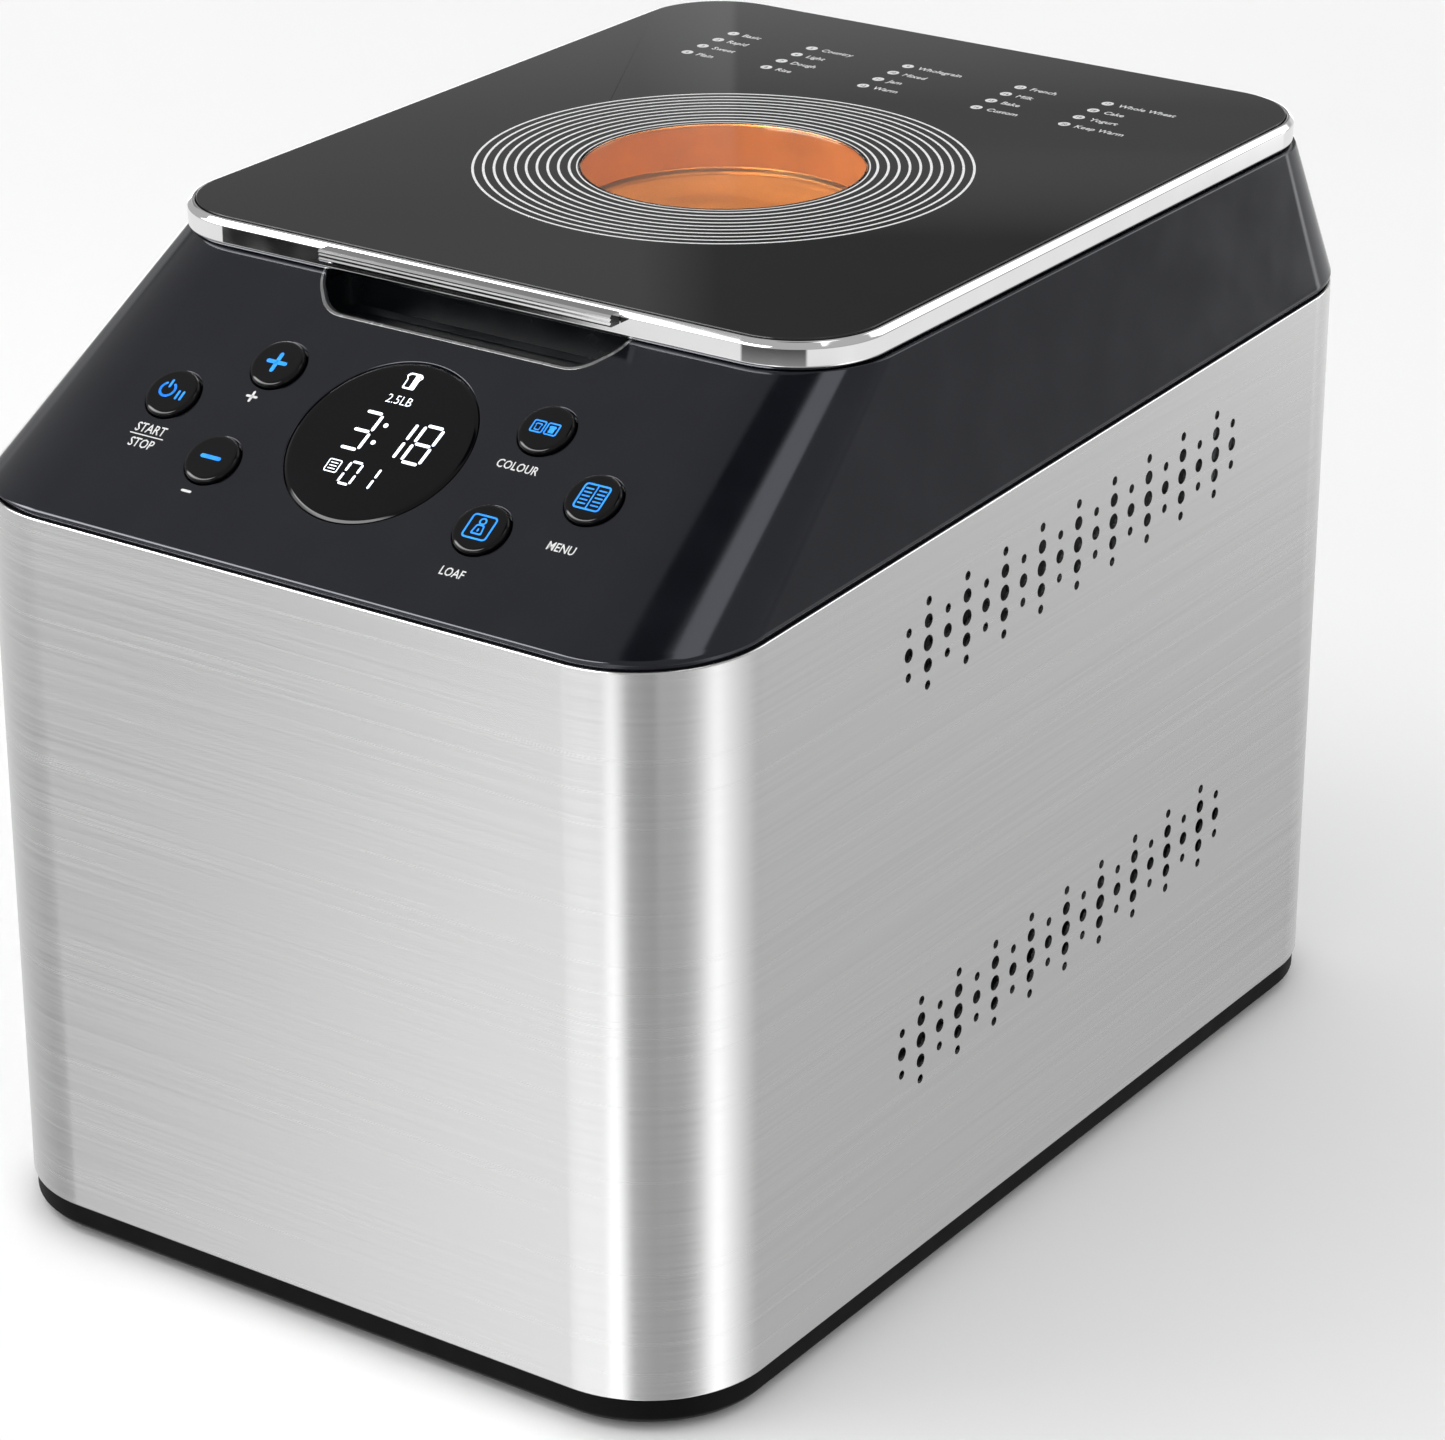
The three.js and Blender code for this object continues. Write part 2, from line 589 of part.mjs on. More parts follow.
function driveBelt() {
  const gap = 0.5;
  const thickness = 2;
  const outer = beltOutline(PULLEY.big + gap + thickness, PULLEY.small + gap + thickness);
  const inner = beltOutline(PULLEY.big + gap, PULLEY.small + gap);
  place('drive_belt', ring(outer, inner, PULLEY.bottom + 1.4, PULLEY.top - 1.4), LOOK.belt);
}

function motor() {
  const { y, radius, bottom, top, shaft } = MOTOR;
  const bore = shaft + GAP;
  const casing = turned([
    [bore, bottom], [radius - 6, bottom], [radius - 2, bottom + 6], [radius - 2, 54],
    [radius, 54], [radius, 92], [radius - 2, 92], [radius - 2, top - 6],
    [radius - 8, top], [bore, top], [bore, bottom],
  ], 24, 0, y);
  place('motor_body', casing, LOOK.galvanised);
  place('motor_shaft', rod(shaft, 16, top + 3, 0, y, 20), LOOK.machined);
  const { small, bottom: low, top: high } = PULLEY;
  const profile = [
    [bore, low - 1.5], [small + 3, low - 1.5], [small + 3, low + 0.6], [small, low + 0.6],
    [small, high - 0.6], [small + 3, high - 0.6], [small + 3, high + 1.5], [bore, high + 1.5],
    [bore, low - 1.5],
  ];
  place('motor_pulley', turned(profile, 20, 0, y), LOOK.machined);
}

const CAPACITOR = { x: -86, y: -122, radius: 17, bottom: 12, top: 72 };

function electrics() {
  const { x, y, radius, bottom, top } = CAPACITOR;
  const can = [[0, bottom], [16, bottom], [radius, 13], [radius, 70], [15, top], [0, top]];
  place('motor_capacitor', turned(can, 20, x, y), LOOK.component);
  const band = tubeRing(radius + GAP, radius + 1.8, 26, 38, x, y, 20);
  const tab = block(x - 4, x + 4, y + 17.5, y + 19.4, 5.9, 38);
  const toe = block(x - 4, x + 4, y + 17.5, y + 30, 5.9, 7.5);
  place('capacitor_clip', join(band, tab, toe), LOOK.galvanised);
  const low = 15.5;
  place('power_board', join(
    block(66, 113, -166, -91, 14, 15.6),
    block(70, 95, -160, -135, low, 40),
    block(98, 111, -144, -122, low, 31),
    block(70, 84, -118, -100, low, 30),
    block(96, 99, -114, -94, low, 46),
    turned([[0, low], [5, low], [5, 36], [0, 36]], 16, 88, -126),
  ), LOOK.board);
}

// ---------------------------------------------------------------- bread pan and kneading drive

const panOutline = (grow, radius) => roundedRect(
  PAN.halfX + grow,
  SPINDLE_Y - PAN.halfY - grow,
  SPINDLE_Y + PAN.halfY + grow,
  radius,
);

function breadPan() {
  const { radius, taper, bottom, rim, wall } = PAN;
  const floor = bottom + 1.5;
  const outer = loft([
    level(panOutline(-taper - 3, radius - 1), bottom),
    level(panOutline(-taper, radius + 2), bottom + 3),
    level(panOutline(0, radius), rim),
  ]);
  const inner = loft([
    level(panOutline(-taper - 3.6, radius - 1.6), floor),
    level(panOutline(-taper - wall, radius + 0.8), floor + 2.6),
    level(panOutline(-wall, radius - wall), rim + 1),
  ]);
  const lip = ring(panOutline(2.6, radius + 2.6), panOutline(-0.4, radius - 0.4), rim - 1.6, rim);
  const hole = rod(7, bottom - 1, floor + 1, 0, SPINDLE_Y, 20);
  place('bread_pan', cut(join(cut(outer, inner), lip), hole), LOOK.coating);
}

function panBase() {
  const bore = SHAFT_RADIUS + GAP;
  const top = PAN.bottom - GAP;
  const cup = turned([
    [bore, 58.4], [30, 58.4], [30, LUG.bottom - 1], [42, LUG.bottom - 1], [42, top],
    [bore, top], [bore, 58.4],
  ], 32, 0, SPINDLE_Y);
  const lugs = LUG_ANGLES.map((angle) => sector(
    LUG.inner,
    LUG.outer,
    angle - LUG.span / 2,
    angle + LUG.span / 2,
    LUG.bottom,
    LUG.top,
  ));
  place('pan_base', join(cup, ...lugs), LOOK.aluminium);
}

function panSpindle() {
  const shaft = rod(SHAFT_RADIUS, 54, 86, 0, SPINDLE_Y, 24);
  const wing = block(-12.5, 12.5, SPINDLE_Y - 2.5, SPINDLE_Y + 2.5, 54, 58);
  place('pan_spindle', join(shaft, wing), LOOK.machined);
}

function kneadingPaddle() {
  const hub = turned([
    [5.3, 64.5], [9.5, 64.5], [8.5, 88], [5.3, 88], [5.3, 64.5],
  ], 24, 0, SPINDLE_Y);
  const blade = sidePrism([[8, 64.5], [44, 64.5], [40, 74], [22, 92], [8, 86]], -1.6, 1.6);
  const turnedBlade = blade.rotate([0, 0, -60]).translate([0, SPINDLE_Y, 0]);
  place('kneading_paddle', cut(join(hub, turnedBlade), rod(5.3, 60, 95, 0, SPINDLE_Y)), LOOK.coating);
}

function bailAndBrackets() {
  const { reach, halfY, z, wire, bend } = BAIL;
  const wallY = PAN.halfY + GAP;
  const bracket = cut(
    sidePrism([
      [wallY, 168], [wallY + 1.6, 168], [wallY + 1.6, 174], [89.4, 177], [89.4, 189.8],
      [87.7, 189.8], [87.7, 177.6], [wallY, 175],
    ], -8, 8),
    alongY(rod(wire, 80, 95, 0, 0, 12)).translate([0, 0, z]),
  );
  place('bail_bracket_rear', bracket.translate([0, SPINDLE_Y, 0]), LOOK.machined);
  place('bail_bracket_front', bracket.mirror([0, 1, 0]).translate([0, SPINDLE_Y, 0]), LOOK.machined);
  const loop = bentPath([
    new THREE.Vector2(-wire, SPINDLE_Y - halfY),
    new THREE.Vector2(reach, SPINDLE_Y - halfY),
    new THREE.Vector2(reach, SPINDLE_Y + halfY),
    new THREE.Vector2(-wire, SPINDLE_Y + halfY),
  ], bend, z);
  const endPins = [-1, 1].map((side) => {
    const from = side > 0 ? 86.9 : -halfY - 1;
    const to = side > 0 ? halfY + 1 : -86.9;
    return alongY(rod(wire - GAP, from, to, 0, 0, 12)).translate([0, SPINDLE_Y, z]);
  });
  place('bail_handle', join(sweptBar(loop, wire, 36, 8), ...endPins), LOOK.machined);
}

// ---------------------------------------------------------------- lid and hinge

function lidFrame() {
  const { bottom, top } = LID;
  const rim = ring(lidOutline(0), lidOutline(2.2), bottom, top);
  const ledge = ring(lidOutline(2), lidOutline(11), bottom + 1.6, top - 2.4);
  place('lid_frame', join(rim, ledge), LOOK.chrome);
}

function lidPanes() {
  const bottom = LID.top - 2.1;
  const top = LID.top + 0.5;
  const pane = prism(lidOutline(2.5), bottom, top);
  place('lid_glass', cut(pane, rod(WINDOW.radius + GAP, 280, 300, 0, WINDOW.y, 40)), LOOK.blackGlass);
  place('viewing_window', rod(WINDOW.radius, bottom, top, 0, WINDOW.y, 40), LOOK.clearGlass);
  place('inner_window', rod(WINDOW.radius + 4, 272.5, 275.5, 0, WINDOW.y, 32), LOOK.clearGlass);
}

function lidLiner() {
  const low = 271;
  const high = LID.bottom + 1.3;
  const tray = cut(prism(mouthOutline(3), low, high), prism(mouthOutline(4.2), low + 1.2, high + 1));
  const flange = ring(lidOutline(2.6), mouthOutline(4), LID.bottom + 0.2, high);
  const view = rod(WINDOW.radius + 2, low - 1, low + 3, 0, WINDOW.y, 32);
  place('lid_liner', cut(join(tray, flange), view), LOOK.aluminium);
}

const HANDLE = { halfX: 50, bottom: 287.6, top: 291, reach: 4.4, chamfer: 0.6, groove: 0.5 };

// A ridged bar across the front: two grooves run along its face.
function lidHandle() {
  const { halfX, bottom, top, reach, chamfer, groove } = HANDLE;
  const back = LID.front - GAP;
  const tip = LID.front - reach - GAP;
  const grooves = [1, 2].flatMap((k) => {
    const z = bottom + (top - bottom) * k / 3;
    return [[tip, z - 0.25], [tip + groove, z - 0.1], [tip + groove, z + 0.1], [tip, z + 0.25]];
  });
  const bar = [
    [back, bottom], [tip + chamfer, bottom], [tip, bottom + chamfer],
    ...grooves,
    [tip, top - chamfer], [tip + chamfer, top], [back, top],
  ];
  place('lid_handle', sidePrism(bar, -halfX, halfX), LOOK.chrome);
}

function hinges() {
  const { y, z, knuckle, pin, inner, outer } = HINGE;
  const knuckleAt = (from, to) => alongX(rod(knuckle, from, to, 0, 0, 14)).translate([0, y, z]);
  const bore = alongX(rod(pin + GAP, 40, 100, 0, 0, 12)).translate([0, y, z]);
  const back = LID.back + GAP;
  const arm = join(
    knuckleAt(inner + GAP, outer - GAP),
    sidePrism([[back, 283.8], [y, 281], [y, 287], [back, 289]], inner + GAP, outer - GAP),
  );
  const side = (from, to) => join(
    knuckleAt(from, to),
    sidePrism([[174.9, 279], [y + knuckle, 279], [y + knuckle, z], [y - knuckle, z]], from, to),
  );
  const footOutline = [[174.9, 279.6], [y + knuckle, 279.6], [184.6, 262], [181.6, 262]];
  const foot = sidePrism(footOutline, inner - 9, outer + 9);
  const bracket = join(foot, side(inner - 9, inner - GAP), side(outer + GAP, outer + 9));
  const arms = cut(arm, bore);
  const brackets = cut(bracket, bore);
  place('lid_hinge_arm_right', arms, LOOK.mattePlastic);
  place('lid_hinge_arm_left', arms.mirror([1, 0, 0]), LOOK.mattePlastic);
  place('hinge_bracket_right', brackets, LOOK.mattePlastic);
  place('hinge_bracket_left', brackets.mirror([1, 0, 0]), LOOK.mattePlastic);
  const rodRight = alongX(rod(pin, inner - 9.5, outer + 9.5, 0, 0, 12)).translate([0, y, z]);
  place('hinge_pin_right', rodRight, LOOK.machined);
  place('hinge_pin_left', rodRight.mirror([1, 0, 0]), LOOK.machined);
}

// ---------------------------------------------------------------- build everything

baseTray();
feet();
steelWrap();
rearPanel();
topHousing();
displayPieces();
BUTTONS.forEach(button);
controlBoard();
ovenChamber();
chamberBrackets();
heaterElement();
temperatureSensor();
panSeat();
chassisPlate();
bearingHousing();
driveTrain();
driveBelt();
motor();
electrics();
breadPan();
panBase();
panSpindle();
kneadingPaddle();
bailAndBrackets();
lidFrame();
lidPanes();
lidLiner();
lidHandle();
hinges();

export default group;
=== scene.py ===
"""Looks of a countertop bread machine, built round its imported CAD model.

Shapes are worked out in millimetres, in the CAD frame, and turned into metres when their mesh is made.
"""

import json
import math

import bpy
from mathutils import Matrix, Vector


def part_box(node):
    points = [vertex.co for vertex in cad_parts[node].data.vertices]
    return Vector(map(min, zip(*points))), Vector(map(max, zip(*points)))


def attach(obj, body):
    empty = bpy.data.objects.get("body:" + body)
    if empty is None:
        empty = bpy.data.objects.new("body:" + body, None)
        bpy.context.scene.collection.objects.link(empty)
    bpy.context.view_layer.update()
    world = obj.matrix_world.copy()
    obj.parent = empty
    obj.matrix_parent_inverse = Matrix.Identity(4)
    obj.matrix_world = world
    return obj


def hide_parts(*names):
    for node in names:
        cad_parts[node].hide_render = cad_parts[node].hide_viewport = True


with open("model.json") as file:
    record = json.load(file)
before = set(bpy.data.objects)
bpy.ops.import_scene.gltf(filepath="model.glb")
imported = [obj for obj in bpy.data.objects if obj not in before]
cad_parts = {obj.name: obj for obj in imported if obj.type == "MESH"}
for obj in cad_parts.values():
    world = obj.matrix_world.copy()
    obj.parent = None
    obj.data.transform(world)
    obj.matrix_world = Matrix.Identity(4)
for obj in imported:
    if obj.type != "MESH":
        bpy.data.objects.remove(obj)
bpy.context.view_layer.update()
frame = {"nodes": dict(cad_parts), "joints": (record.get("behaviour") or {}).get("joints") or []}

# ---------------- measures from the frame

MM = 0.001
PRINT = 0.05          # thickness of printed marks
SINK = 0.01           # how far a mark reaches into the surface that it lies on
CORNER_STEPS = 24     # facets on a quarter turn of the large corners
NEARLY_HALF = 0.49    # most of an edge that the bend at one of its ends may take


def corners_mm(node):
    low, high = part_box(node)
    return low / MM, high / MM


def middle_mm(node):
    low, high = corners_mm(node)
    return (low + high) / 2


CASE_LOW, CASE_HIGH = corners_mm("steel_wrap")
HALF_X = CASE_HIGH.x
HALF_Y = CASE_HIGH.y
BODY_RADIUS = 38
STEEL_WALL = 1.0
SEAM_RISE = 12        # the seam climbs this much from front to back
SEAM_GROOVE = 1.6
LIP = 0.9             # upright edge of the black top above the groove
HOUSING_WALL = 2.6

TRAY_LOW, TRAY_HIGH = corners_mm("base_tray")
DECK = corners_mm("top_housing")[1].z
LID_LOW, LID_HIGH = corners_mm("lid_frame")
LID_RADIUS = 28
GLASS_LOW, GLASS_HIGH = corners_mm("lid_glass")
WINDOW_LOW, WINDOW_HIGH = corners_mm("viewing_window")
WINDOW_Y = (WINDOW_LOW.y + WINDOW_HIGH.y) / 2
WINDOW_RADIUS = (WINDOW_HIGH.x - WINDOW_LOW.x) / 2
LINER_LOW, LINER_HIGH = corners_mm("lid_liner")
CHAMBER_LOW, CHAMBER_HIGH = corners_mm("oven_chamber")
FLANGE = 5            # width of the chamber's flange
SHEET = 1.0           # thickness of its metal
HEATER_Z = 72
HEATER_LEAD = 12      # each lead of the heater is this far from the middle
PAN_LOW, PAN_HIGH = corners_mm("bread_pan")
PAN_LIP = 2.6
SPINDLE_Y = (CHAMBER_LOW.y + CHAMBER_HIGH.y) / 2
MOUTH = {"half_x": 104, "front": -82, "back": 150, "radius": 30, "bottom": DECK - 15.2}

# The control slope's own frame: x across, y up the slope, z outwards.
PRESS_AXIS = next(j["axis"] for j in frame["joints"] if j["name"] == "start_press")
SLOPE = math.asin(PRESS_AXIS[1])
SLOPE_LOW_Z = CASE_HIGH.z - SEAM_RISE + SEAM_GROOVE + LIP
DECK_BORDER = 1.5     # the sides aim at a line this far outside the lid
SLOPE_TOP = (LID_LOW.y - DECK_BORDER, 281.4)
SLOPE_MATRIX = Matrix.Translation((0, -HALF_Y, SLOPE_LOW_Z)) @ Matrix.Rotation(SLOPE, 4, "X")

KEY_PLACES = {
    "start": (-72, 47.5),
    "plus": (-46, 65),
    "minus": (-46, 30),
    "crust": (46, 65),
    "loaf": (46, 30),
    "menu": (72, 47.5),
}
KEY_RADIUS = 8.2
KEY_HOLE = 8.5
DISPLAY_S = 49
DISPLAY_RADIUS = 28


# ---------------- outlines and rows of points

def rounded_rect(half_x, front, back, radius, steps=CORNER_STEPS):
    """Counter-clockwise outline of a rectangle with round corners."""
    points = []
    for x, y, start in (
        (half_x - radius, front + radius, -90),
        (half_x - radius, back - radius, 0),
        (radius - half_x, back - radius, 90),
        (radius - half_x, front + radius, 180),
    ):
        for i in range(steps + 1):
            angle = math.radians(start + 90 * i / steps)
            points.append((x + radius * math.cos(angle), y + radius * math.sin(angle)))
    return points


def body_outline(inset):
    return rounded_rect(HALF_X - inset, inset - HALF_Y, HALF_Y - inset, BODY_RADIUS - inset)


def lid_outline(inset):
    return rounded_rect(LID_HIGH.x - inset, LID_LOW.y + inset, LID_HIGH.y - inset, LID_RADIUS - inset)


def mouth_outline(inset):
    return rounded_rect(
        MOUTH["half_x"] - inset, MOUTH["front"] + inset, MOUTH["back"] - inset, MOUTH["radius"] - inset
    )


def chamber_outline(inset):
    half_x = CHAMBER_HIGH.x - FLANGE - inset
    front = CHAMBER_LOW.y + FLANGE + inset
    return rounded_rect(half_x, front, CHAMBER_HIGH.y - FLANGE - inset, 26 - inset)


def pan_outline(grow, radius=24):
    half_x = PAN_HIGH.x - PAN_LIP + grow
    half_y = (PAN_HIGH.y - PAN_LOW.y) / 2 - PAN_LIP + grow
    return rounded_rect(half_x, SPINDLE_Y - half_y, SPINDLE_Y + half_y, radius)


def matching_circle(outline, radius, y):
    """A circle round (0, y) with one point for each point of an outline, in the same order."""
    count = len(outline)
    start = math.atan2(outline[0][1] - y, outline[0][0])
    angles = [start + 2 * math.pi * i / count for i in range(count)]
    return [(radius * math.cos(a), y + radius * math.sin(a)) for a in angles]


def circle(radius, x=0.0, y=0.0, steps=48):
    angles = [2 * math.pi * i / steps for i in range(steps)]
    return [(x + radius * math.cos(a), y + radius * math.sin(a)) for a in angles]


def bent(before, corner, after, bend, steps, limit=1.0):
    """Points of a quadratic curve round a corner; it starts bend away, or at limit of the way along."""
    corner = Vector(corner)
    ends = []
    for neighbour in (before, after):
        edge = Vector(neighbour) - corner
        ends.append(corner + edge * min(limit, bend / max(edge.length, 1e-6)))
    start, end = ends
    parts = [k / steps for k in range(steps + 1)]
    return [tuple(start * (1 - t) ** 2 + corner * 2 * t * (1 - t) + end * t * t) for t in parts]


def rounded_polygon(corners, radius, steps=8):
    """Closed outline through corners, each rounded."""
    points = []
    for i, corner in enumerate(corners):
        points += bent(corners[i - 1], corner, corners[(i + 1) % len(corners)], radius, steps)
    return points


def slot_outline(x0, y0, x1, y1, width, steps=8):
    """A stroke of the given width with round ends."""
    angle = math.atan2(y1 - y0, x1 - x0)
    points = []
    for x, y, start in ((x1, y1, angle - math.pi / 2), (x0, y0, angle + math.pi / 2)):
        for i in range(steps + 1):
            turn = start + math.pi * i / steps
            points.append((x + width / 2 * math.cos(turn), y + width / 2 * math.sin(turn)))
    return points


def seam(y):
    return CASE_HIGH.z - SEAM_RISE * (HALF_Y - y) / (2 * HALF_Y)


def level(outline, z):
    return [(x, y, z) for x, y in outline]


def levels(outline, *places):
    """Rows of an outline function: each place is what the function takes, then a height."""
    return [level(outline(*sizes), z) for *sizes, z in places]


def along_seam(outline, above):
    return [(x, y, seam(y) + above) for x, y in outline]


def rounded_rows(rows, bend, steps=4):
    """The same rows, with each inner one replaced by a round bend between its neighbours."""
    out = [rows[0]]
    for neighbours in zip(rows, rows[1:], rows[2:]):
        columns = [bent(*points, bend, steps, NEARLY_HALF) for points in zip(*neighbours)]
        out.extend(list(row) for row in zip(*columns))
    out.append(rows[-1])
    return out


# ---------------- closed shapes, as (points, faces)

def loft(rows, ring=False):
    """Closed shape through matching rows, capped at both ends or joined end to end as a ring."""
    count = len(rows[0])
    points = [p for row in rows for p in row]
    faces = []
    spans = len(rows) if ring else len(rows) - 1
    for k in range(spans):
        low = k * count
        high = (k + 1) % len(rows) * count
        for i in range(count):
            j = (i + 1) % count
            faces.append((low + i, low + j, high + j, high + i))
    if not ring:
        last = (len(rows) - 1) * count
        faces.append(tuple(reversed(range(count))))
        faces.append(tuple(range(last, last + count)))
    return points, faces


def ring_shape(rows, bend, steps=4):
    """A ring through rows whose edges are all rounded."""
    looped = [rows[-1]] + rows + [rows[0]]
    return loft(rounded_rows(looped, bend, steps)[1:-1], ring=True)


def prism(outline, low, high):
    return loft([level(outline, low), level(outline, high)])


def round_profile(profile, bend, steps):
    """A turned profile with its corners rounded; a point may carry its own bend as a third number."""
    out = [profile[0][:2]]
    for before, corner, after in zip(profile, profile[1:], profile[2:]):
        own = corner[2] if len(corner) > 2 else bend
        out += bent(before[:2], corner[:2], after[:2], own, steps, NEARLY_HALF)
    out.append(profile[-1][:2])
    return out


def lathe(profile, bend, x=0.0, y=0.0, steps=64, bend_steps=4):
    """Turns a profile of (radius, height) about a vertical axis, its corners rounded.

    It runs from axis to axis, or comes back to its own start, away from the axis.
    """
    profile = round_profile(profile, bend, bend_steps)
    if profile[0][0] > 0:
        return loft([level(circle(r, x, y, steps), z) for r, z in profile[:-1]], ring=True)
    points = [(x, y, profile[0][1])]
    faces = []
    inner = profile[1:-1]
    for r, z in inner:
        points.extend(level(circle(r, x, y, steps), z))
    points.append((x, y, profile[-1][1]))
    last = len(points) - 1
    top = 1 + (len(inner) - 1) * steps
    for i in range(steps):
        j = (i + 1) % steps
        faces.append((0, 1 + j, 1 + i))
        faces.append((last, top + i, top + j))
        for k in range(len(inner) - 1):
            low = 1 + k * steps
            faces.append((low + i, low + j, low + steps + j, low + steps + i))
    return points, faces


def rod(radius, low, high, bend, *place, **settings):
    """A round bar or disc from low to high."""
    return lathe([(0, low), (radius, low), (radius, high), (0, high)], bend, *place, **settings)


def tube(path, radius):
    """A round bar along a list of points, with flat ends."""
    path = [Vector(p) for p in path]
    rows = []
    across = None
    for i, p in enumerate(path):
        ahead = (path[min(i + 1, len(path) - 1)] - path[max(i - 1, 0)]).normalized()
        if across is None:
            across = ahead.orthogonal().normalized()
        across = (across - ahead * across.dot(ahead)).normalized()
        side = ahead.cross(across)
        rows.append([tuple(p + across * x + side * y) for x, y in circle(radius, steps=24)])
    return loft(rows)


def bent_path(corners, bend, z):
    """Straight runs through (x, y) corners at one height, joined by round bends."""
    path = [corners[0]]
    for neighbours in zip(corners, corners[1:], corners[2:]):
        path += bent(*neighbours, bend, 10)
    path.append(corners[-1])
    return level(path, z)


def moved(shape, matrix):
    points, faces = shape
    points = [tuple(matrix @ Vector(p)) for p in points]
    if matrix.determinant() < 0:
        faces = [tuple(reversed(f)) for f in faces]
    return points, faces


def merged(*shapes):
    points, faces = [], []
    for more_points, more_faces in shapes:
        start = len(points)
        points.extend(more_points)
        faces.extend(tuple(start + i for i in f) for f in more_faces)
    return points, faces


ALONG_X = Matrix(((0, 0, 1, 0), (1, 0, 0, 0), (0, 1, 0, 0), (0, 0, 0, 1)))
ALONG_Y = Matrix(((1, 0, 0, 0), (0, 0, 1, 0), (0, -1, 0, 0), (0, 0, 0, 1)))
MIRROR_X = Matrix.Scale(-1, 4, (1, 0, 0))


def side_prism(outline, low, high):
    """A prism along X whose outline is drawn in (y, z)."""
    return moved(prism(outline, low, high), ALONG_X)


def rear_prism(outline, low, high):
    """A prism along Y whose outline is drawn in (x, z)."""
    flipped = [(x, -z) for x, z in reversed(outline)]
    return moved(prism(flipped, low, high), ALONG_Y)


def at(x, y, z):
    return Matrix.Translation((x, y, z))


# ---------------- objects

def new_object(name, shape):
    points, faces = shape
    mesh = bpy.data.meshes.new(name)
    mesh.from_pydata([Vector(p) * MM for p in points], [], faces)
    mesh.validate()
    thing = bpy.data.objects.new(name, mesh)
    bpy.context.scene.collection.objects.link(thing)
    return thing


def apply_modifiers(thing):
    depsgraph = bpy.context.evaluated_depsgraph_get()
    mesh = bpy.data.meshes.new_from_object(thing.evaluated_get(depsgraph))
    thing.modifiers.clear()
    old = thing.data
    thing.data = mesh
    mesh.name = thing.name
    bpy.data.meshes.remove(old)


def boolean(thing, shape, operation="DIFFERENCE"):
    """Cuts a shape out of an object, or joins it on."""
    tool = new_object("tool", shape)
    modifier = thing.modifiers.new("boolean", "BOOLEAN")
    modifier.operation = operation
    modifier.solver = "EXACT"
    modifier.object = tool
    apply_modifiers(thing)
    bpy.data.objects.remove(tool)


def even_normals(thing):
    """Shades the large faces flat and the bends between them round."""
    modifier = thing.modifiers.new("weighted normals", "WEIGHTED_NORMAL")
    modifier.keep_sharp = True


def bevel(thing, width, angle=35):
    modifier = thing.modifiers.new("bevel", "BEVEL")
    modifier.width = width * MM
    modifier.segments = 2
    modifier.limit_method = "ANGLE"
    modifier.angle_limit = math.radians(angle)
    modifier.use_clamp_overlap = True


def dress(thing, look):
    thing.data.materials.clear()
    thing.data.materials.append(LOOK[look])


def piece(name, shape, body, look, replaces=(), joins=(), cuts=(), edge=0.0, angle=32):
    """A finished piece: joined up, cut, edges rounded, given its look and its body."""
    thing = new_object(name, shape)
    for joined in joins:
        boolean(thing, joined, "UNION")
    for cutter in cuts:
        boolean(thing, cutter)
    if edge:
        bevel(thing, edge)
        apply_modifiers(thing)
    thing.data.shade_smooth()
    thing.data.set_sharp_from_angle(angle=math.radians(angle))
    even_normals(thing)
    dress(thing, look)
    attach(thing, body)
    if replaces:
        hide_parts(*replaces)


# ---------------- materials

def add_node(tree, kind, values=None, **settings):
    """Adds a shader node; values sets sockets by name or number, and links those given as sockets."""
    node = tree.nodes.new(kind)
    for key, value in settings.items():
        setattr(node, key, value)
    for key, value in (values or {}).items():
        if isinstance(value, bpy.types.NodeSocket):
            tree.links.new(value, node.inputs[key])
        else:
            node.inputs[key].default_value = value
    return node


def ramp_node(tree, factor, stops):
    node = add_node(tree, "ShaderNodeValToRGB", {0: factor})
    elements = node.color_ramp.elements
    while len(elements) < len(stops):
        elements.new(0.5)
    for element, (place, color) in zip(elements, stops):
        element.position = place
        element.color = (*color, 1)
    return node


def noise(tree, scale, stretch=(1, 1, 1), detail=3.0):
    """Noise in the object's own space, in metres; stretch multiplies the scale along each axis."""
    place = add_node(tree, "ShaderNodeTexCoord").outputs["Object"]
    mapping = add_node(tree, "ShaderNodeMapping", {"Vector": place, "Scale": stretch})
    values = {"Vector": mapping.outputs[0], "Scale": scale, "Detail": detail}
    return add_node(tree, "ShaderNodeTexNoise", values).outputs["Fac"]


def spread(tree, factor, low, high, start=0.3, end=0.7):
    values = {0: factor, 1: start, 2: end, 3: low, 4: high}
    return add_node(tree, "ShaderNodeMapRange", values).outputs[0]


def surface(name, dark, light, rough, grain, metallic=0.0, stretch=(1, 1, 1), bump=None, **sockets):
    """A material whose colour, roughness and relief vary with noise.

    rough is (low, high), grain the noise scale in 1/m, bump (scale, height in mm).
    """
    material = bpy.data.materials.new(name)
    material.use_nodes = True
    tree = material.node_tree
    shader = tree.nodes["Principled BSDF"]
    patches = noise(tree, grain, stretch)
    color = ramp_node(tree, patches, ((0.3, dark), (0.7, light)))
    tree.links.new(color.outputs[0], shader.inputs["Base Color"])
    tree.links.new(spread(tree, patches, *rough), shader.inputs["Roughness"])
    if bump:
        scale, height = bump
        relief = noise(tree, scale, stretch, detail=1.0)
        values = {"Height": relief, "Distance": height * MM, "Strength": 1.0}
        normal = add_node(tree, "ShaderNodeBump", values)
        tree.links.new(normal.outputs[0], shader.inputs["Normal"])
    shader.inputs["Metallic"].default_value = metallic
    for socket, value in sockets.items():
        shader.inputs[socket.replace("_", " ")].default_value = value
    return material


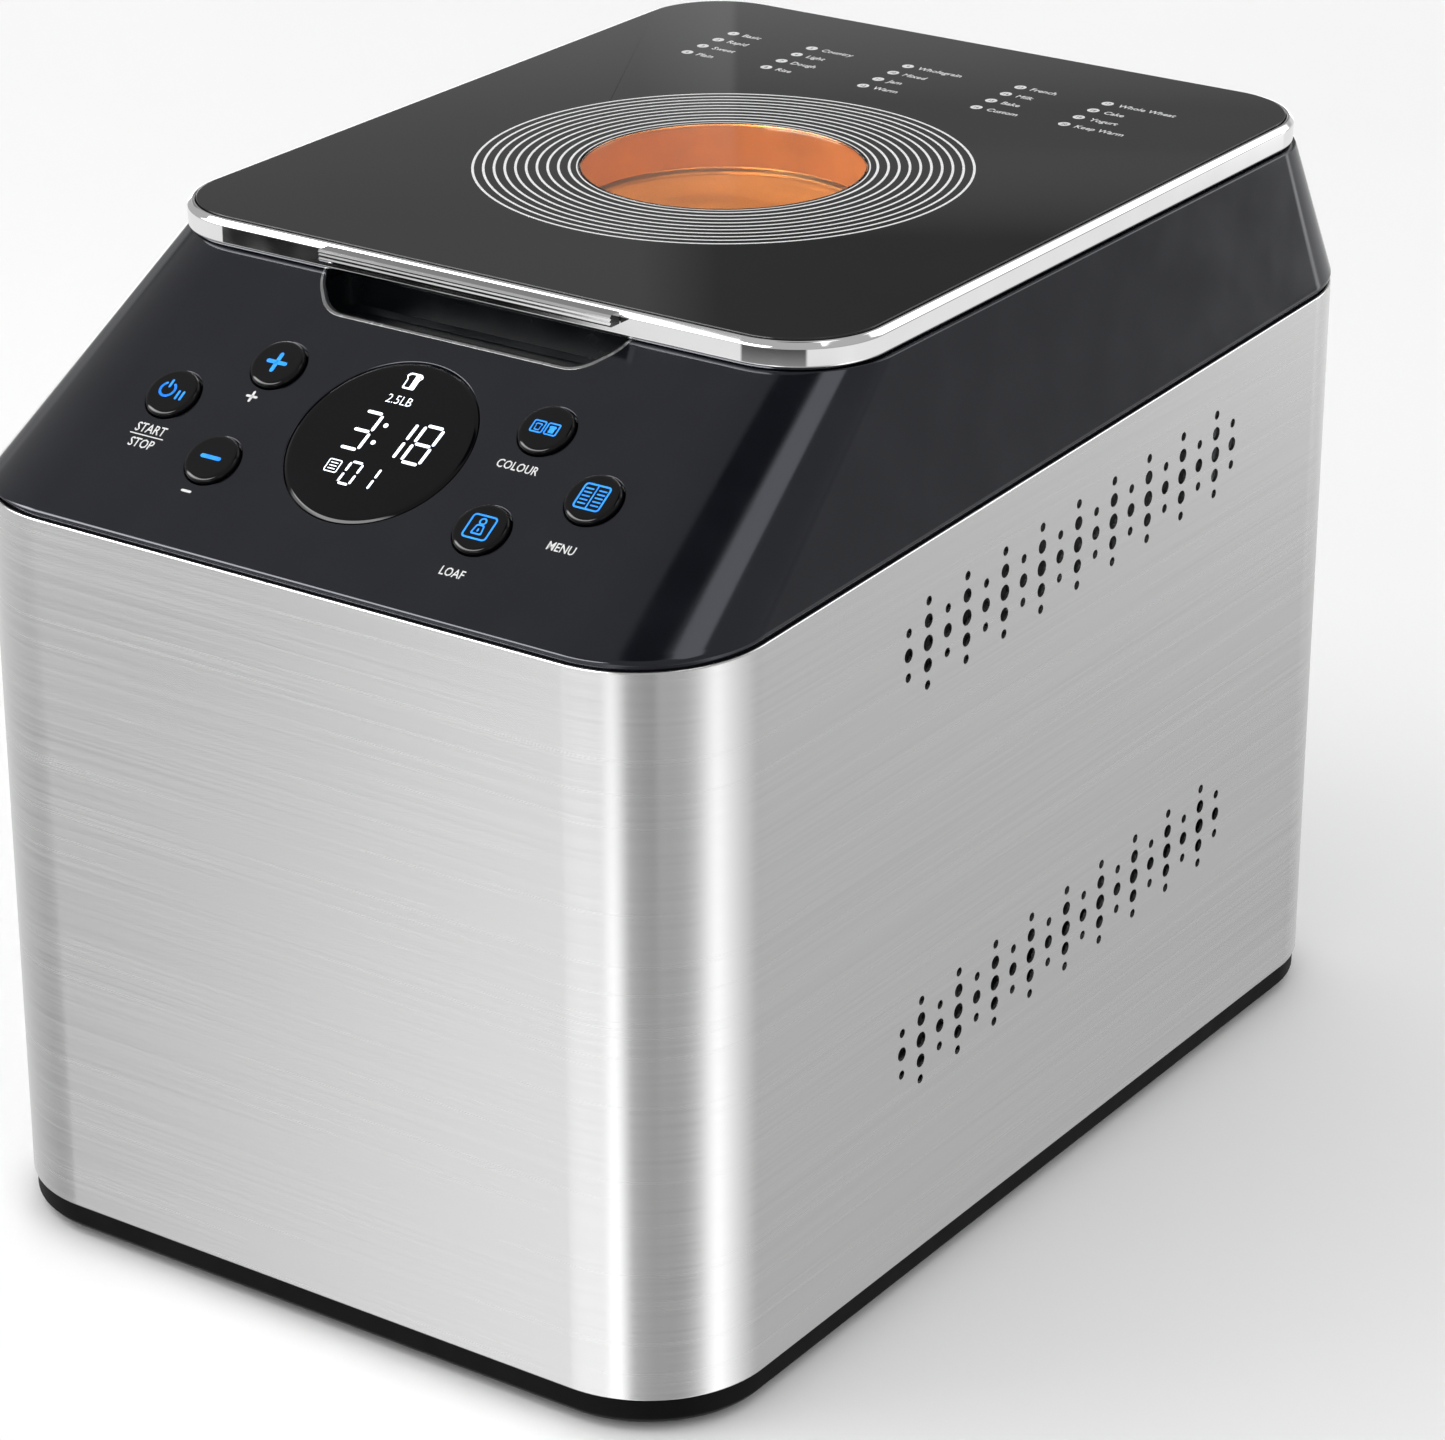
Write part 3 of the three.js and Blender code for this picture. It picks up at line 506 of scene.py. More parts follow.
def brushed_steel():
    """Horizontal grain: long streaks round the case, fine steps up its height."""
    material = surface(
        "brushed_steel", grey(0.735), grey(0.775), (0.23, 0.28), 1.0, metallic=1.0,
        stretch=(5, 5, 900), bump=(1.0, 0.0019), Anisotropic=0.75, Anisotropic_Rotation=0.25,
    )
    tree = material.node_tree
    tangent = add_node(tree, "ShaderNodeTangent", direction_type="RADIAL", axis="Z")
    tree.links.new(tangent.outputs[0], tree.nodes["Principled BSDF"].inputs["Tangent"])
    return material


def window_glass(name, tint):
    material = surface(name, tint, tint, (0.0, 0.03), 40)
    shader = material.node_tree.nodes["Principled BSDF"]
    shader.inputs["Transmission Weight"].default_value = 1.0
    shader.inputs["IOR"].default_value = 1.45
    return material


def glowing(name, dark, light, strength):
    """Back-lit print: light with a slight unevenness."""
    material = surface(name, dark, light, (0.3, 0.4), 400)
    tree = material.node_tree
    shader = tree.nodes["Principled BSDF"]
    color = ramp_node(tree, noise(tree, 250), ((0.3, dark), (0.7, light)))
    tree.links.new(color.outputs[0], shader.inputs["Emission Color"])
    shader.inputs["Emission Strength"].default_value = strength
    return material


def grey(value):
    return (value, value, value)


INK_BLACK = ((0.001, 0.001, 0.0015), (0.002, 0.002, 0.003))
BARE_ALUMINIUM = ((0.60, 0.60, 0.61), grey(0.72))

LOOK = {
    "steel": brushed_steel(),
    "chrome": surface("chrome", grey(0.86), grey(0.9), (0.03, 0.07), 60, metallic=1.0),
    "housing": surface("housing_gloss", (0.0058, 0.0062, 0.0085), (0.0072, 0.0078, 0.0105),
                       (0.08, 0.13), 55, bump=(900, 0.002), Specular_Tint=(0.88, 0.9, 1.0, 1)),
    "pocket": surface("pocket_gloss", (0.006, 0.008, 0.010), (0.008, 0.010, 0.012), (0.2, 0.28), 80),
    # The rim look is a light grey that stands in for the line of light on the finger recess's edge: a
    # painted highlight.
    "rim": surface("painted_highlight_trim", grey(0.22), grey(0.28), (0.22, 0.3), 200, metallic=0.6),
    "glass": surface("black_glass", (0.010, 0.010, 0.011), (0.013, 0.013, 0.014), (0.0, 0.03), 12),
    "display": surface("display_glass", *INK_BLACK, (0.03, 0.06), 30, Specular_IOR_Level=0.25),
    "key": surface("key_gloss", *INK_BLACK, (0.05, 0.09), 90, Specular_IOR_Level=0.3),
    "matte": surface("matte_black", grey(0.002), grey(0.004), (0.5, 0.62), 120, bump=(2600, 0.02),
                     Specular_IOR_Level=0.08),
    "rubber": surface("foot_rubber", grey(0.012), grey(0.022), (0.75, 0.9), 200, bump=(1500, 0.06)),
    "galvanised": surface("galvanised", (0.40, 0.42, 0.43), (0.56, 0.58, 0.60), (0.3, 0.5), 90,
                          metallic=1.0),
    "aluminium": surface("aluminium", *BARE_ALUMINIUM, (0.3, 0.42), 30, metallic=1.0, bump=(700, 0.01)),
    "satin": surface("satin_aluminium", *BARE_ALUMINIUM, (0.38, 0.5), 30, metallic=0.65,
                     bump=(700, 0.01)),
    "machined": surface("machined_steel", grey(0.42), grey(0.58), (0.2, 0.32), 60, metallic=1.0,
                        stretch=(1, 1, 30)),
    "coating": surface("pan_coating", (0.16, 0.095, 0.045), (0.25, 0.155, 0.08), (0.3, 0.45), 300,
                       metallic=0.65, bump=(2500, 0.015)),
    "heater": surface("heater_oxide", (0.07, 0.06, 0.055), (0.14, 0.12, 0.11), (0.4, 0.6), 200,
                      metallic=0.9),
    "nylon": surface("nylon", (0.62, 0.60, 0.54), (0.72, 0.70, 0.63), (0.4, 0.5), 80),
    "belt": surface("belt_rubber", grey(0.014), grey(0.026), (0.7, 0.85), 150),
    "board": surface("solder_mask", (0.010, 0.075, 0.030), (0.018, 0.110, 0.050), (0.3, 0.45), 200),
    "component": surface("component", grey(0.02), grey(0.05), (0.35, 0.55), 120),
    "window": window_glass("window_glass", (1.0, 0.84, 0.62)),
    # The sleeve's saturated amber-orange is painted warm lamplight, not the wall's own colour.
    "sleeve": surface("painted_glow_sleeve", (0.44, 0.20, 0.035), (0.54, 0.26, 0.05), (0.45, 0.6), 60),
    "white_print": surface("white_print", grey(0.75), grey(0.85), (0.4, 0.5), 600),
    "soft_print": surface("soft_print", grey(0.62), grey(0.75), (0.4, 0.5), 600),
    "digits": glowing("display_light", (0.78, 0.87, 1.0), (0.92, 0.96, 1.0), 1.15),
    "blue": glowing("key_light", (0.005, 0.19, 0.75), (0.02, 0.31, 0.9), 0.7),
}
LOOK["dark_print"] = LOOK["matte"]


# ---------------- steel case and base

VENT = {"first": -80, "pitch": 10, "columns": 19, "below_seam": (30, 152)}
VENT_THREE = ((0, 2.1), (6.6, 1.4), (-6.6, 1.4))
VENT_FIVE = ((0, 2.4), (6.6, 2.1), (-6.6, 2.1), (12.5, 1.4), (-12.5, 1.4))
REAR_OPENING = {"half_x": 76, "bottom": 24, "top": 206, "radius": 5}


def vent_holes():
    """Every hole runs right through one side wall; columns of three and five take turns."""
    holes = []
    for below in VENT["below_seam"]:
        for column in range(VENT["columns"]):
            y = VENT["first"] + VENT["pitch"] * column
            for up, radius in VENT_FIVE if column % 2 else VENT_THREE:
                outline = circle(radius, y, seam(y) - below + up, steps=14)
                holes.append(side_prism(outline, HALF_X - 4, HALF_X + 4))
                holes.append(side_prism(outline, -HALF_X - 4, 4 - HALF_X))
    return merged(*holes)


def steel_case():
    """One sheet wrapped round the body, with rolled edges at the floor and at the seam."""
    half = STEEL_WALL / 2
    turn = [math.pi * k / 6 for k in range(7)]
    top = [along_seam(body_outline(half - half * math.cos(a)), half * math.sin(a) - half) for a in turn]
    bottom_z = CASE_LOW.z + half
    bottom = [level(body_outline(half + half * math.cos(a)), bottom_z - half * math.sin(a)) for a in turn]
    hole = REAR_OPENING
    outline = rounded_rect(hole["half_x"], hole["bottom"], hole["top"], hole["radius"], 6)
    rear = rear_prism(outline, HALF_Y - 6, HALF_Y + 6)
    piece("steel_case", loft(top + bottom, ring=True), "body", "steel",
          ["steel_wrap"], cuts=[vent_holes(), rear])


TRAY_RIM = 1.3        # inset of the tray's rim, inside the steel
TRAY_INSIDE = 4.4
TRAY_SLOTS = {"across": range(-42, 43, 12), "front": -155, "back": -115, "width": 3.2}


def base_tray():
    inset = HALF_X - TRAY_HIGH.x
    bottom, rim = TRAY_LOW.z, TRAY_HIGH.z
    ledge, floor = CASE_LOW.z - 0.3, bottom + 3
    rows = levels(
        body_outline, (inset + 1.4, bottom), (inset, bottom + 1.6), (inset, ledge), (TRAY_RIM, ledge),
        (TRAY_RIM, rim), (TRAY_INSIDE, rim), (TRAY_INSIDE, floor),
    )
    slots = []
    for x in TRAY_SLOTS["across"]:
        outline = slot_outline(x, TRAY_SLOTS["front"], x, TRAY_SLOTS["back"], TRAY_SLOTS["width"])
        slots.append(prism(outline, bottom - 1, floor + 1))
    piece("base_skirt", loft(rounded_rows(rows, 0.5, 3)), "body", "matte", ["base_tray"],
          cuts=[merged(*slots)])


def feet():
    for corner in ("front_left", "front_right", "rear_left", "rear_right"):
        node = "foot_" + corner
        middle = middle_mm(node)
        radius = corners_mm(node)[1].x - middle.x
        profile = [(0, 0), (radius - 3, 0), (radius - 3.4, 0.5), (radius - 1.2, 0.2), (radius, 1.0),
                   (radius, 2.3), (3, 2.3), (3, 6), (4.2, 6), (2.4, 8), (0, 8)]
        pad = lathe(profile, 0.3, middle.x, middle.y, 40)
        piece("pad_" + node, pad, "body", "rubber", [node])


LOUVRES = {"half_x": 46, "heights": range(108, 181, 9), "width": 3.4}


def rear_panel():
    low, high = corners_mm("rear_panel")
    outlet = middle_mm("cord_gland")
    half = LOUVRES["half_x"]
    openings = [slot_outline(-half, z, half, z, LOUVRES["width"]) for z in LOUVRES["heights"]]
    openings.append(circle(8.3, outlet.x, outlet.z))
    cuts = [rear_prism(outline, low.y - 2, high.y + 2) for outline in openings]
    plate = rear_prism(rounded_rect(high.x, low.z, high.z, 4, 4), low.y, high.y)
    piece("back_plate", plate, "body", "galvanised", ["rear_panel"], cuts=[merged(*cuts)], edge=0.3)
    face = HALF_Y - 0.1
    profile = [(3.6, 174), (6, 174), (8, 177), (8, face - 1), (11, face - 1), (11, face), (3.6, face),
               (3.6, 174)]
    gland = moved(lathe(profile, 0.5, steps=48), at(outlet.x, 0, outlet.z) @ ALONG_Y)
    piece("cord_outlet", gland, "body", "matte", ["cord_gland"])
    for i in range(1, 5):
        screw(f"rear_screw_{i}")


def screw(node):
    """A domed head with a cross recess, facing the rear."""
    low, high = corners_mm(node)
    middle = middle_mm(node)
    x, z = middle.x, middle.z
    radius = high.x - x
    profile = [(0, low.y), (radius, low.y), (radius - 0.3, high.y), (0, high.y)]
    head = moved(lathe(profile, 0.4, steps=32), at(x, 0, z) @ ALONG_Y)
    arms = [
        rear_prism(slot_outline(x - dx, z - dz, x + dx, z + dz, 0.8), high.y - 0.6, high.y + 1)
        for dx, dz in ((1.7, 0), (0, 1.7))
    ]
    piece("head_" + node, head, "body", "machined", [node], cuts=arms)


# ---------------- black top

POCKET_LOW, POCKET_HIGH = corners_mm("finger_pocket")
POCKET_WALL = 1.8
POCKET_SHOULDER = 10   # how far the recess widens to each side, and over what depth


def pocket_outline(grow=0.0):
    front, back = POCKET_LOW.y + POCKET_WALL, POCKET_HIGH.y - POCKET_WALL
    half_x = POCKET_HIGH.x - POCKET_WALL
    right = [
        (half_x - POCKET_SHOULDER + grow, front - grow),
        (half_x + grow, front + POCKET_SHOULDER - 0.6 - grow / 2),
        (half_x + grow, back + grow),
    ]
    left = [(-x, y) for x, y in reversed(right)]
    return rounded_polygon(right + left, 5 + grow / 2)


def top_housing():
    """The black top: lip over the seam, sloping sides, flat deck, collar round the oven's mouth."""
    lip = SEAM_GROOVE + LIP
    edge = along_seam(body_outline(0), lip)
    top = []
    for a, b in zip(edge, level(lid_outline(-DECK_BORDER), SLOPE_TOP[1])):
        top.append(tuple(Vector(a).lerp(Vector(b), (DECK - a[2]) / (b[2] - a[2]))))
    up_slope = [tuple(Vector(a).lerp(Vector(b), 0.025)) for a, b in zip(edge, top)]
    nose = rounded_rows([along_seam(body_outline(0.1), SEAM_GROOVE), edge, up_slope], 2.4, 8)
    inner_lid = rounded_rect(LID_HIGH.x - 2, LID_LOW.y + 2.5, LID_HIGH.y - 2, LID_RADIUS - 3)
    rows = [
        along_seam(body_outline(4), -9),
        along_seam(body_outline(1.5), -9),
        along_seam(body_outline(1.5), SEAM_GROOVE + 0.3),
        *nose,
        top,
        level(mouth_outline(0), DECK),
        level(mouth_outline(0), MOUTH["bottom"]),
        level(mouth_outline(-2), MOUTH["bottom"]),
        level(mouth_outline(-2), DECK - HOUSING_WALL),
        level(inner_lid, DECK - HOUSING_WALL),
        along_seam(body_outline(HOUSING_WALL), lip - 1.4),
        along_seam(body_outline(4), SEAM_GROOVE + 1),
    ]
    holes = [flared_hole(KEY_HOLE, x, s, -9, 64) for x, s in KEY_PLACES.values()]
    seat = flared_hole(DISPLAY_RADIUS + 0.3, 0, DISPLAY_S, -1.9, 128)
    opening = prism(circle(22, 0, DISPLAY_S), -9, 9)
    cuts = [moved(shape, SLOPE_MATRIX) for shape in (merged(*holes), seat, opening)]
    piece("black_top", ring_shape(rows, 0.5, 3), "body", "housing",
          ["top_housing"], cuts=cuts + [flared_pocket()])


def rolled_edge(size, steps):
    """(height, how much wider) up a cutter that leaves a round edge about its hole."""
    turns = [k / steps for k in range(steps + 1)]
    return [(0.02 - size * (1 - t) ** 2, size * t * t) for t in turns] + [(5, size)]


def flared_hole(radius, x, s, bottom, steps):
    """Cutter for a round hole in the slope whose upper edge is rounded."""
    places = [(bottom, 0)] + rolled_edge(0.5, 4)
    return loft([level(circle(radius + wider, x, s, steps), height) for height, wider in places])


def on_skin(outline, above):
    """An outline laid over the black top's outside at the recess, that much above it."""
    rise = (SLOPE_TOP[1] - SLOPE_LOW_Z) / (SLOPE_TOP[0] + HALF_Y)
    return [(x, y, min(DECK, SLOPE_LOW_Z + rise * (y + HALF_Y)) + above) for x, y in outline]


def flared_pocket():
    rows = [level(pocket_outline(), POCKET_LOW.z - 5)]
    rows += [on_skin(pocket_outline(wider), height) for height, wider in rolled_edge(0.8, 7)]
    return loft(rows)


def finger_pocket():
    """The tub that lines the finger recess, just under the black top's skin, and a light grey band round
    its edge that is a painted highlight.
    """
    rise = (DECK - HOUSING_WALL - SLOPE_LOW_Z + 1.4) / (LID_LOW.y + 2.5 + HALF_Y - HOUSING_WALL)

    def under_skin(outline):
        slope = [SLOPE_LOW_Z - 1.4 + rise * (y + HALF_Y - HOUSING_WALL) for x, y in outline]
        return [(*point, min(DECK - HOUSING_WALL, z) - 0.3) for point, z in zip(outline, slope)]

    outside, inside = pocket_outline(POCKET_WALL), pocket_outline()
    floor = POCKET_LOW.z + POCKET_WALL
    rows = [
        level(outside, POCKET_LOW.z),
        under_skin(outside),
        under_skin(inside),
        level(inside, floor + 1.5),
        level(pocket_outline(-1.5), floor),
    ]
    piece("finger_tub", loft(rows), "body", "pocket", ["finger_pocket"])
    # Light grey band laid over the recess's edge: a painted highlight in place of the light that the
    # rounded edge catches.
    places = ((1.5, -0.4), (1.5, 0.12), (0.8, 0.12), (0.8, -0.4))
    rim = [on_skin(pocket_outline(grow), above) for grow, above in places]
    piece("pocket_painted_highlight", ring_shape(rim, 0.1, 2), "body", "rim")


# ---------------- printed and lit marks

def cap(text, weight):
    """A line of text as flat outlines one unit high, centred, as a thin solid."""
    curve = bpy.data.curves.new("text", "FONT")
    curve.body = text
    curve.align_x = "CENTER"
    curve.size = 1.37
    curve.extrude = 0.5
    curve.offset = weight
    curve.resolution_u = 2
    thing = bpy.data.objects.new("text", curve)
    bpy.context.scene.collection.objects.link(thing)
    depsgraph = bpy.context.evaluated_depsgraph_get()
    mesh = bpy.data.meshes.new_from_object(thing.evaluated_get(depsgraph))
    points = [tuple(v.co) for v in mesh.vertices]
    faces = [tuple(p.vertices) for p in mesh.polygons]
    bpy.data.objects.remove(thing)
    return points, faces


def lettering(text, x, y, height, low, narrow=0.82, weight=0.012):
    """Text with its base line at y, from low to low + PRINT."""
    size = Matrix.Diagonal((height * narrow, height, PRINT, 1))
    return moved(cap(text, weight), at(x, y, low + PRINT / 2) @ size)


def stroke(x0, y0, x1, y1, width, low=0.0):
    return prism(slot_outline(x0, y0, x1, y1, width, 4), low, low + PRINT)


def dot(x, y, radius, low=0.0):
    return prism(circle(radius, x, y, 20), low, low + PRINT)


def band(outline, inner, low=0.0):
    """A closed line between two matching outlines."""
    top = low + PRINT
    rows = [level(outline, low), level(outline, top), level(inner, top), level(inner, low)]
    return loft(rows, ring=True)


def frame_mark(x, y, half, radius, width):
    """A rounded square drawn as a line."""
    outside, inside = (
        [(x + px, y + py) for px, py in rounded_rect(size, -size, size, bend, 5)]
        for size, bend in ((half, radius), (half - width, max(radius - width, 0.2)))
    )
    return band(outside, inside)


SEGMENTS = {"0": "abcdef", "1": "bc", "3": "abgcd", "8": "abcdefg"}


def seven_segment(digit, x, y, width, height, thick):
    """One digit of up to seven bars, its lower left corner at (x, y), leaning slightly to the right."""
    lean = 0.07
    gap = thick * 0.95
    middle = height / 2
    ends = {
        "a": (gap, height, width - gap, height),
        "b": (width, height - gap, width, middle + gap),
        "c": (width, middle - gap, width, gap),
        "d": (gap, 0, width - gap, 0),
        "e": (0, middle - gap, 0, gap),
        "f": (0, height - gap, 0, middle + gap),
        "g": (gap, middle, width - gap, middle),
    }
    bars = []
    for name in SEGMENTS[digit]:
        x0, y0, x1, y1 = ends[name]
        bars.append(stroke(x + x0 + lean * y0, y + y0, x + x1 + lean * y1, y + y1, thick))
    return merged(*bars)


def loaf_outline(x, y, size):
    """A slice of tin loaf: straight sides below, two shoulders above."""
    right = [(0.36, -0.5), (0.36, 0.12), (0.5, 0.3), (0.34, 0.5)]
    shape = right + [(-px, py) for px, py in reversed(right)]
    return rounded_polygon([(x + size * px, y + size * py) for px, py in shape], size * 0.1, 6)


def loaf_mark(x, y, size, width):
    return band(loaf_outline(x, y, size), loaf_outline(x, y, size - 2 * width))


DISPLAY_TOP = 0.3 - PRINT   # height of the display's face above the slope


def display_readout():
    """Loaf and weight on top, the time in large digits, the program number below."""
    marks = [
        loaf_mark(-2.6, 70.2, 5.6, 0.55),
        prism([(-2.4, 67.7), (-0.9, 67.7), (-0.9, 72.6), (-2.4, 72.6)], 0, PRINT),
        lettering("2.5LB", -2.6, 61.9, 3.1, 0, 0.9, -0.016),
        dot(-1.6, 54.4, 0.75),
        dot(-2.0, 48.2, 0.75),
        frame_mark(-9.2, 38.0, 2.2, 0.6, 0.32),
    ]
    marks += [stroke(-10.3, 38 + dy, -8.1, 38 + dy, 0.3) for dy in (-1, 0, 1)]
    for digit, x in (("3", -11.2), ("1", 0.8), ("8", 9.6)):
        marks.append(seven_segment(digit, x, 44.6, 6.0, 13.0, 1.0))
    for digit, x in (("0", -4.8), ("1", 1.4)):
        marks.append(seven_segment(digit, x, 33.2, 3.9, 7.6, 0.75))
    readout = moved(merged(*marks), SLOPE_MATRIX @ at(0, 0, DISPLAY_TOP))
    piece("display_readout", readout, "body", "digits")


def key_mark(name):
    """The back-lit symbol of a key, round its centre, drawn flat."""
    if name == "plus":
        bars = ((-2.9, 0, 2.9, 0), (0, -2.9, 0, -0.65), (0, 0.65, 0, 2.9))
        return merged(*(stroke(*ends, 1.3) for ends in bars))
    if name == "minus":
        return stroke(-2.9, 0, 2.9, 0, 1.3)
    if name == "menu":
        marks = [frame_mark(0, 0, 4.3, 1.2, 0.55), stroke(0, -3.7, 0, 3.7, 0.4)]
        for line in range(-2, 3):
            marks += [stroke(x - 1.1, 1.25 * line, x + 1.1, 1.25 * line, 0.45) for x in (-2.1, 2.1)]
        return merged(*marks)
    if name == "loaf":
        weight = [(-1.9, -2.5), (1.9, -2.5), (1.3, 0.9), (-1.3, 0.9)]
        within = [(-1.35, -2.0), (1.35, -2.0), (0.95, 0.4), (-0.95, 0.4)]
        return merged(
            frame_mark(0, 0, 4.1, 1.3, 0.55),
            band(rounded_polygon(weight, 0.7, 5), rounded_polygon(within, 0.5, 5)),
            band(circle(1.2, 0, 1.9, 24), circle(0.7, 0, 1.9, 24)),
            stroke(0, -1.3, 0, -0.7, 0.5),
        )
    if name == "crust":
        frames = [frame_mark(x, 0, 2.1, 0.7, 0.45) for x in (-2.3, 2.3)]
        pale_loaf = loaf_mark(-2.3, -0.1, 2.4, 0.35)
        dark_loaf = prism(loaf_outline(2.3, -0.1, 2.4), 0, PRINT)
        return merged(*frames, pale_loaf, dark_loaf)
    turn = [math.radians(a) for a in range(125, 416, 12)]
    arc = [(2.4 * math.cos(a) - 1.6, 2.4 * math.sin(a) + 0.4) for a in turn]
    marks = [stroke(*p, *q, 0.75) for p, q in zip(arc, arc[1:])]
    marks.append(stroke(-1.6, 1.4, -1.6, 3.6, 0.75))
    marks.extend(stroke(x, -2.0, x, 0.6, 0.75) for x in (2.6, 4.2))
    return merged(*marks)


KEY_FACE = 1.6        # height of a key's face above the slope


def keys():
    """Round keys with a rolled edge, a flat face and a guide flange under the slope."""
    profile = [
        (0, -5.1), (1.5, -5.1), (1.5, -4.6), (9.3, -4.6), (9.3, -3), (KEY_RADIUS, -3),
        (KEY_RADIUS, KEY_FACE - 0.9, 0.5), (KEY_RADIUS - 0.35, KEY_FACE - 0.2, 0.4),
        (KEY_RADIUS - 1.2, KEY_FACE, 0.3), (0, KEY_FACE),
    ]
    for name, (x, s) in KEY_PLACES.items():
        place = SLOPE_MATRIX @ at(x, s, 0)
        button = moved(lathe(profile, 0.15, bend_steps=5), place)
        symbol = moved(key_mark(name), place @ at(0, 0, KEY_FACE - SINK / 2))
        piece("key_" + name, button, name + "_key", "key", ["button_" + name], angle=60)
        piece("symbol_" + name, symbol, name + "_key", "blue")


def key_labels():
    """White marks printed under the keys."""
    low = -SINK
    marks = [
        lettering("START", -71.5, 33.4, 3.2, low),
        stroke(-77.3, 32.4, -65.7, 32.4, 0.35, low),
        lettering("STOP", -71.5, 28.2, 3.2, low),
        stroke(-49.4, 53.2, -46.2, 53.2, 0.8, low),
        stroke(-47.8, 51.6, -47.8, 54.8, 0.8, low),
        stroke(-49.2, 18.6, -46.4, 18.6, 0.8, low),
        lettering("COLOUR", 44.2, 50.6, 2.9, low),
        lettering("LOAF", 45.4, 14.0, 2.9, low),
        lettering("MENU", 71.4, 29.6, 2.9, low),
    ]
    piece("key_labels", moved(merged(*marks), SLOPE_MATRIX), "body", "white_print")


def display_disc():
    radius = DISPLAY_RADIUS
    profile = [
        (0, -1.6), (radius, -1.6), (radius, -0.2), (radius - 0.9, 0.22, 0.3), (radius - 2, DISPLAY_TOP),
        (0, DISPLAY_TOP),
    ]
    disc = moved(lathe(profile, 0.12, 0, DISPLAY_S, 128, 3), SLOPE_MATRIX)
    piece("display_disc", disc, "body", "display", ["display_window"], angle=50)


# ---------------- lid

def lid_frame():
    low, high = LID_LOW.z, LID_HIGH.z
    rows = levels(
        lid_outline, (11, high - 2.4), (11, low + 1.6), (2.2, low + 1.6), (2.2, low), (0.8, low),
        (0, low + 0.9), (0, high - 1.5), (1.3, high), (2.2, high), (2.2, high - 2.4),
    )
    piece("chrome_frame", ring_shape(rows, 0.4, 5), "lid", "chrome", ["lid_frame"], angle=50)


def lid_glass():
    low, high = GLASS_LOW.z, GLASS_HIGH.z - PRINT
    outline = lid_outline(2.5)
    hole = matching_circle(outline, WINDOW_RADIUS + 0.3, WINDOW_Y)
    rows = [level(outline, low), level(outline, high), level(hole, high), level(hole, low)]
    piece("lid_pane", ring_shape(rows, 0.35, 4), "lid", "glass", ["lid_glass"], angle=50)
    inner_low, inner_high = corners_mm("inner_window")
    for name, node, radius, bottom, top in (
        ("view_pane", "viewing_window", WINDOW_RADIUS, low, high),
        ("inner_pane", "inner_window", inner_high.x, inner_low.z, inner_high.z),
    ):
        pane = rod(radius, bottom, top, 0.35, 0, WINDOW_Y, 96)
        piece(name, pane, "lid", "window", [node], angle=50)


def window_sleeve():
    """Round wall between the outer and the inner pane, coloured amber-orange as painted lamplight on top
    of the real light of the lid_glow lamp.
    """
    low, high = corners_mm("inner_window")[1].z + 0.2, GLASS_LOW.z - 0.2
    radius = WINDOW_RADIUS + 2.2
    profile = [(radius, low), (radius + 1.4, low), (radius + 1.4, high), (radius, high), (radius, low)]
    piece("window_sleeve", lathe(profile, 0.3, 0, WINDOW_Y, 96), "lid", "sleeve")


RINGS = {"first": 45.2, "last": 73.4, "count": 10, "width": 0.75}


def lid_rings():
    """Fine rings printed round the window, and one more close to its edge."""
    low = GLASS_HIGH.z - PRINT
    step = (RINGS["last"] - RINGS["first"]) / (RINGS["count"] - 1)
    half = RINGS["width"] / 2
    middles = [RINGS["first"] + step * i for i in range(RINGS["count"])]
    spans = [(radius + half, radius - half) for radius in middles]
    spans.append((WINDOW_RADIUS + 1.15, WINDOW_RADIUS + 0.75))
    lines = [band(*(circle(radius, 0, WINDOW_Y, 128) for radius in span), low) for span in spans]
    piece("lid_rings", merged(*lines), "lid", "white_print")


PROGRAMS = (
    (-77, ("Basic", "Rapid", "Sweet", "Plain")),
    (-47, ("Country", "Light", "Dough", "Rise")),
    (-11, ("Wholegrain", "Mixed", "Jam", "Warm")),
    (30, ("French", "Milk", "Bake", "Custom")),
    (61, ("Whole Wheat", "Cake", "Yogurt", "Keep Warm")),
)


def program_list():
    """Numbered spots with plain words, in five columns along the lid's rear edge."""
    low = GLASS_HIGH.z - PRINT
    spots, numbers, words = [], [], []
    for column, (x, names) in enumerate(PROGRAMS):
        for row, name in enumerate(names):
            y = 135 - 8.6 * row
            spots.append(dot(x, y, 1.9, low - SINK))
            numbers.append(lettering(str(4 * column + row + 1), x, y - 0.85, 1.7, low, 0.85))
            word = lettering(name, 0, 0, 2.9, low, 0.85)
            across = [point[0] for point in word[0]]
            words.append(moved(word, at(x + 4.0 + (max(across) - min(across)) / 2, y - 1.4, 0)))
    piece("program_spots", merged(*spots), "lid", "soft_print")
    piece("program_numbers", merged(*numbers), "lid", "dark_print")
    piece("program_names", merged(*words), "lid", "soft_print")


def lid_liner():
    """Metal tray under the glass, with a round hole for the view and a flange onto the frame."""
    low, high = LINER_LOW.z, LINER_HIGH.z
    hole = matching_circle(mouth_outline(3), WINDOW_RADIUS + 2, WINDOW_Y)
    rows = levels(lid_outline, (2.6, high - 1.1), (2.6, high))
    rows += levels(mouth_outline, (4.2, high), (4.2, low + 1.2))
    rows += [level(hole, low + 1.2), level(hole, low)]
    rows += levels(mouth_outline, (3, low), (3, high - 1.1))
    piece("liner_tray", ring_shape(rows, 0.5, 4), "lid", "aluminium", ["lid_liner"])
    profile = [(0, low - 1.2), (3, low - 1.2), (3.4, low + 0.2), (0, low + 0.2)]
    heads = [lathe(profile, 0.4, x, y, 32) for x in (-88, 88) for y in (-64, 128)]
    piece("liner_screws", merged(*heads), "lid", "machined")


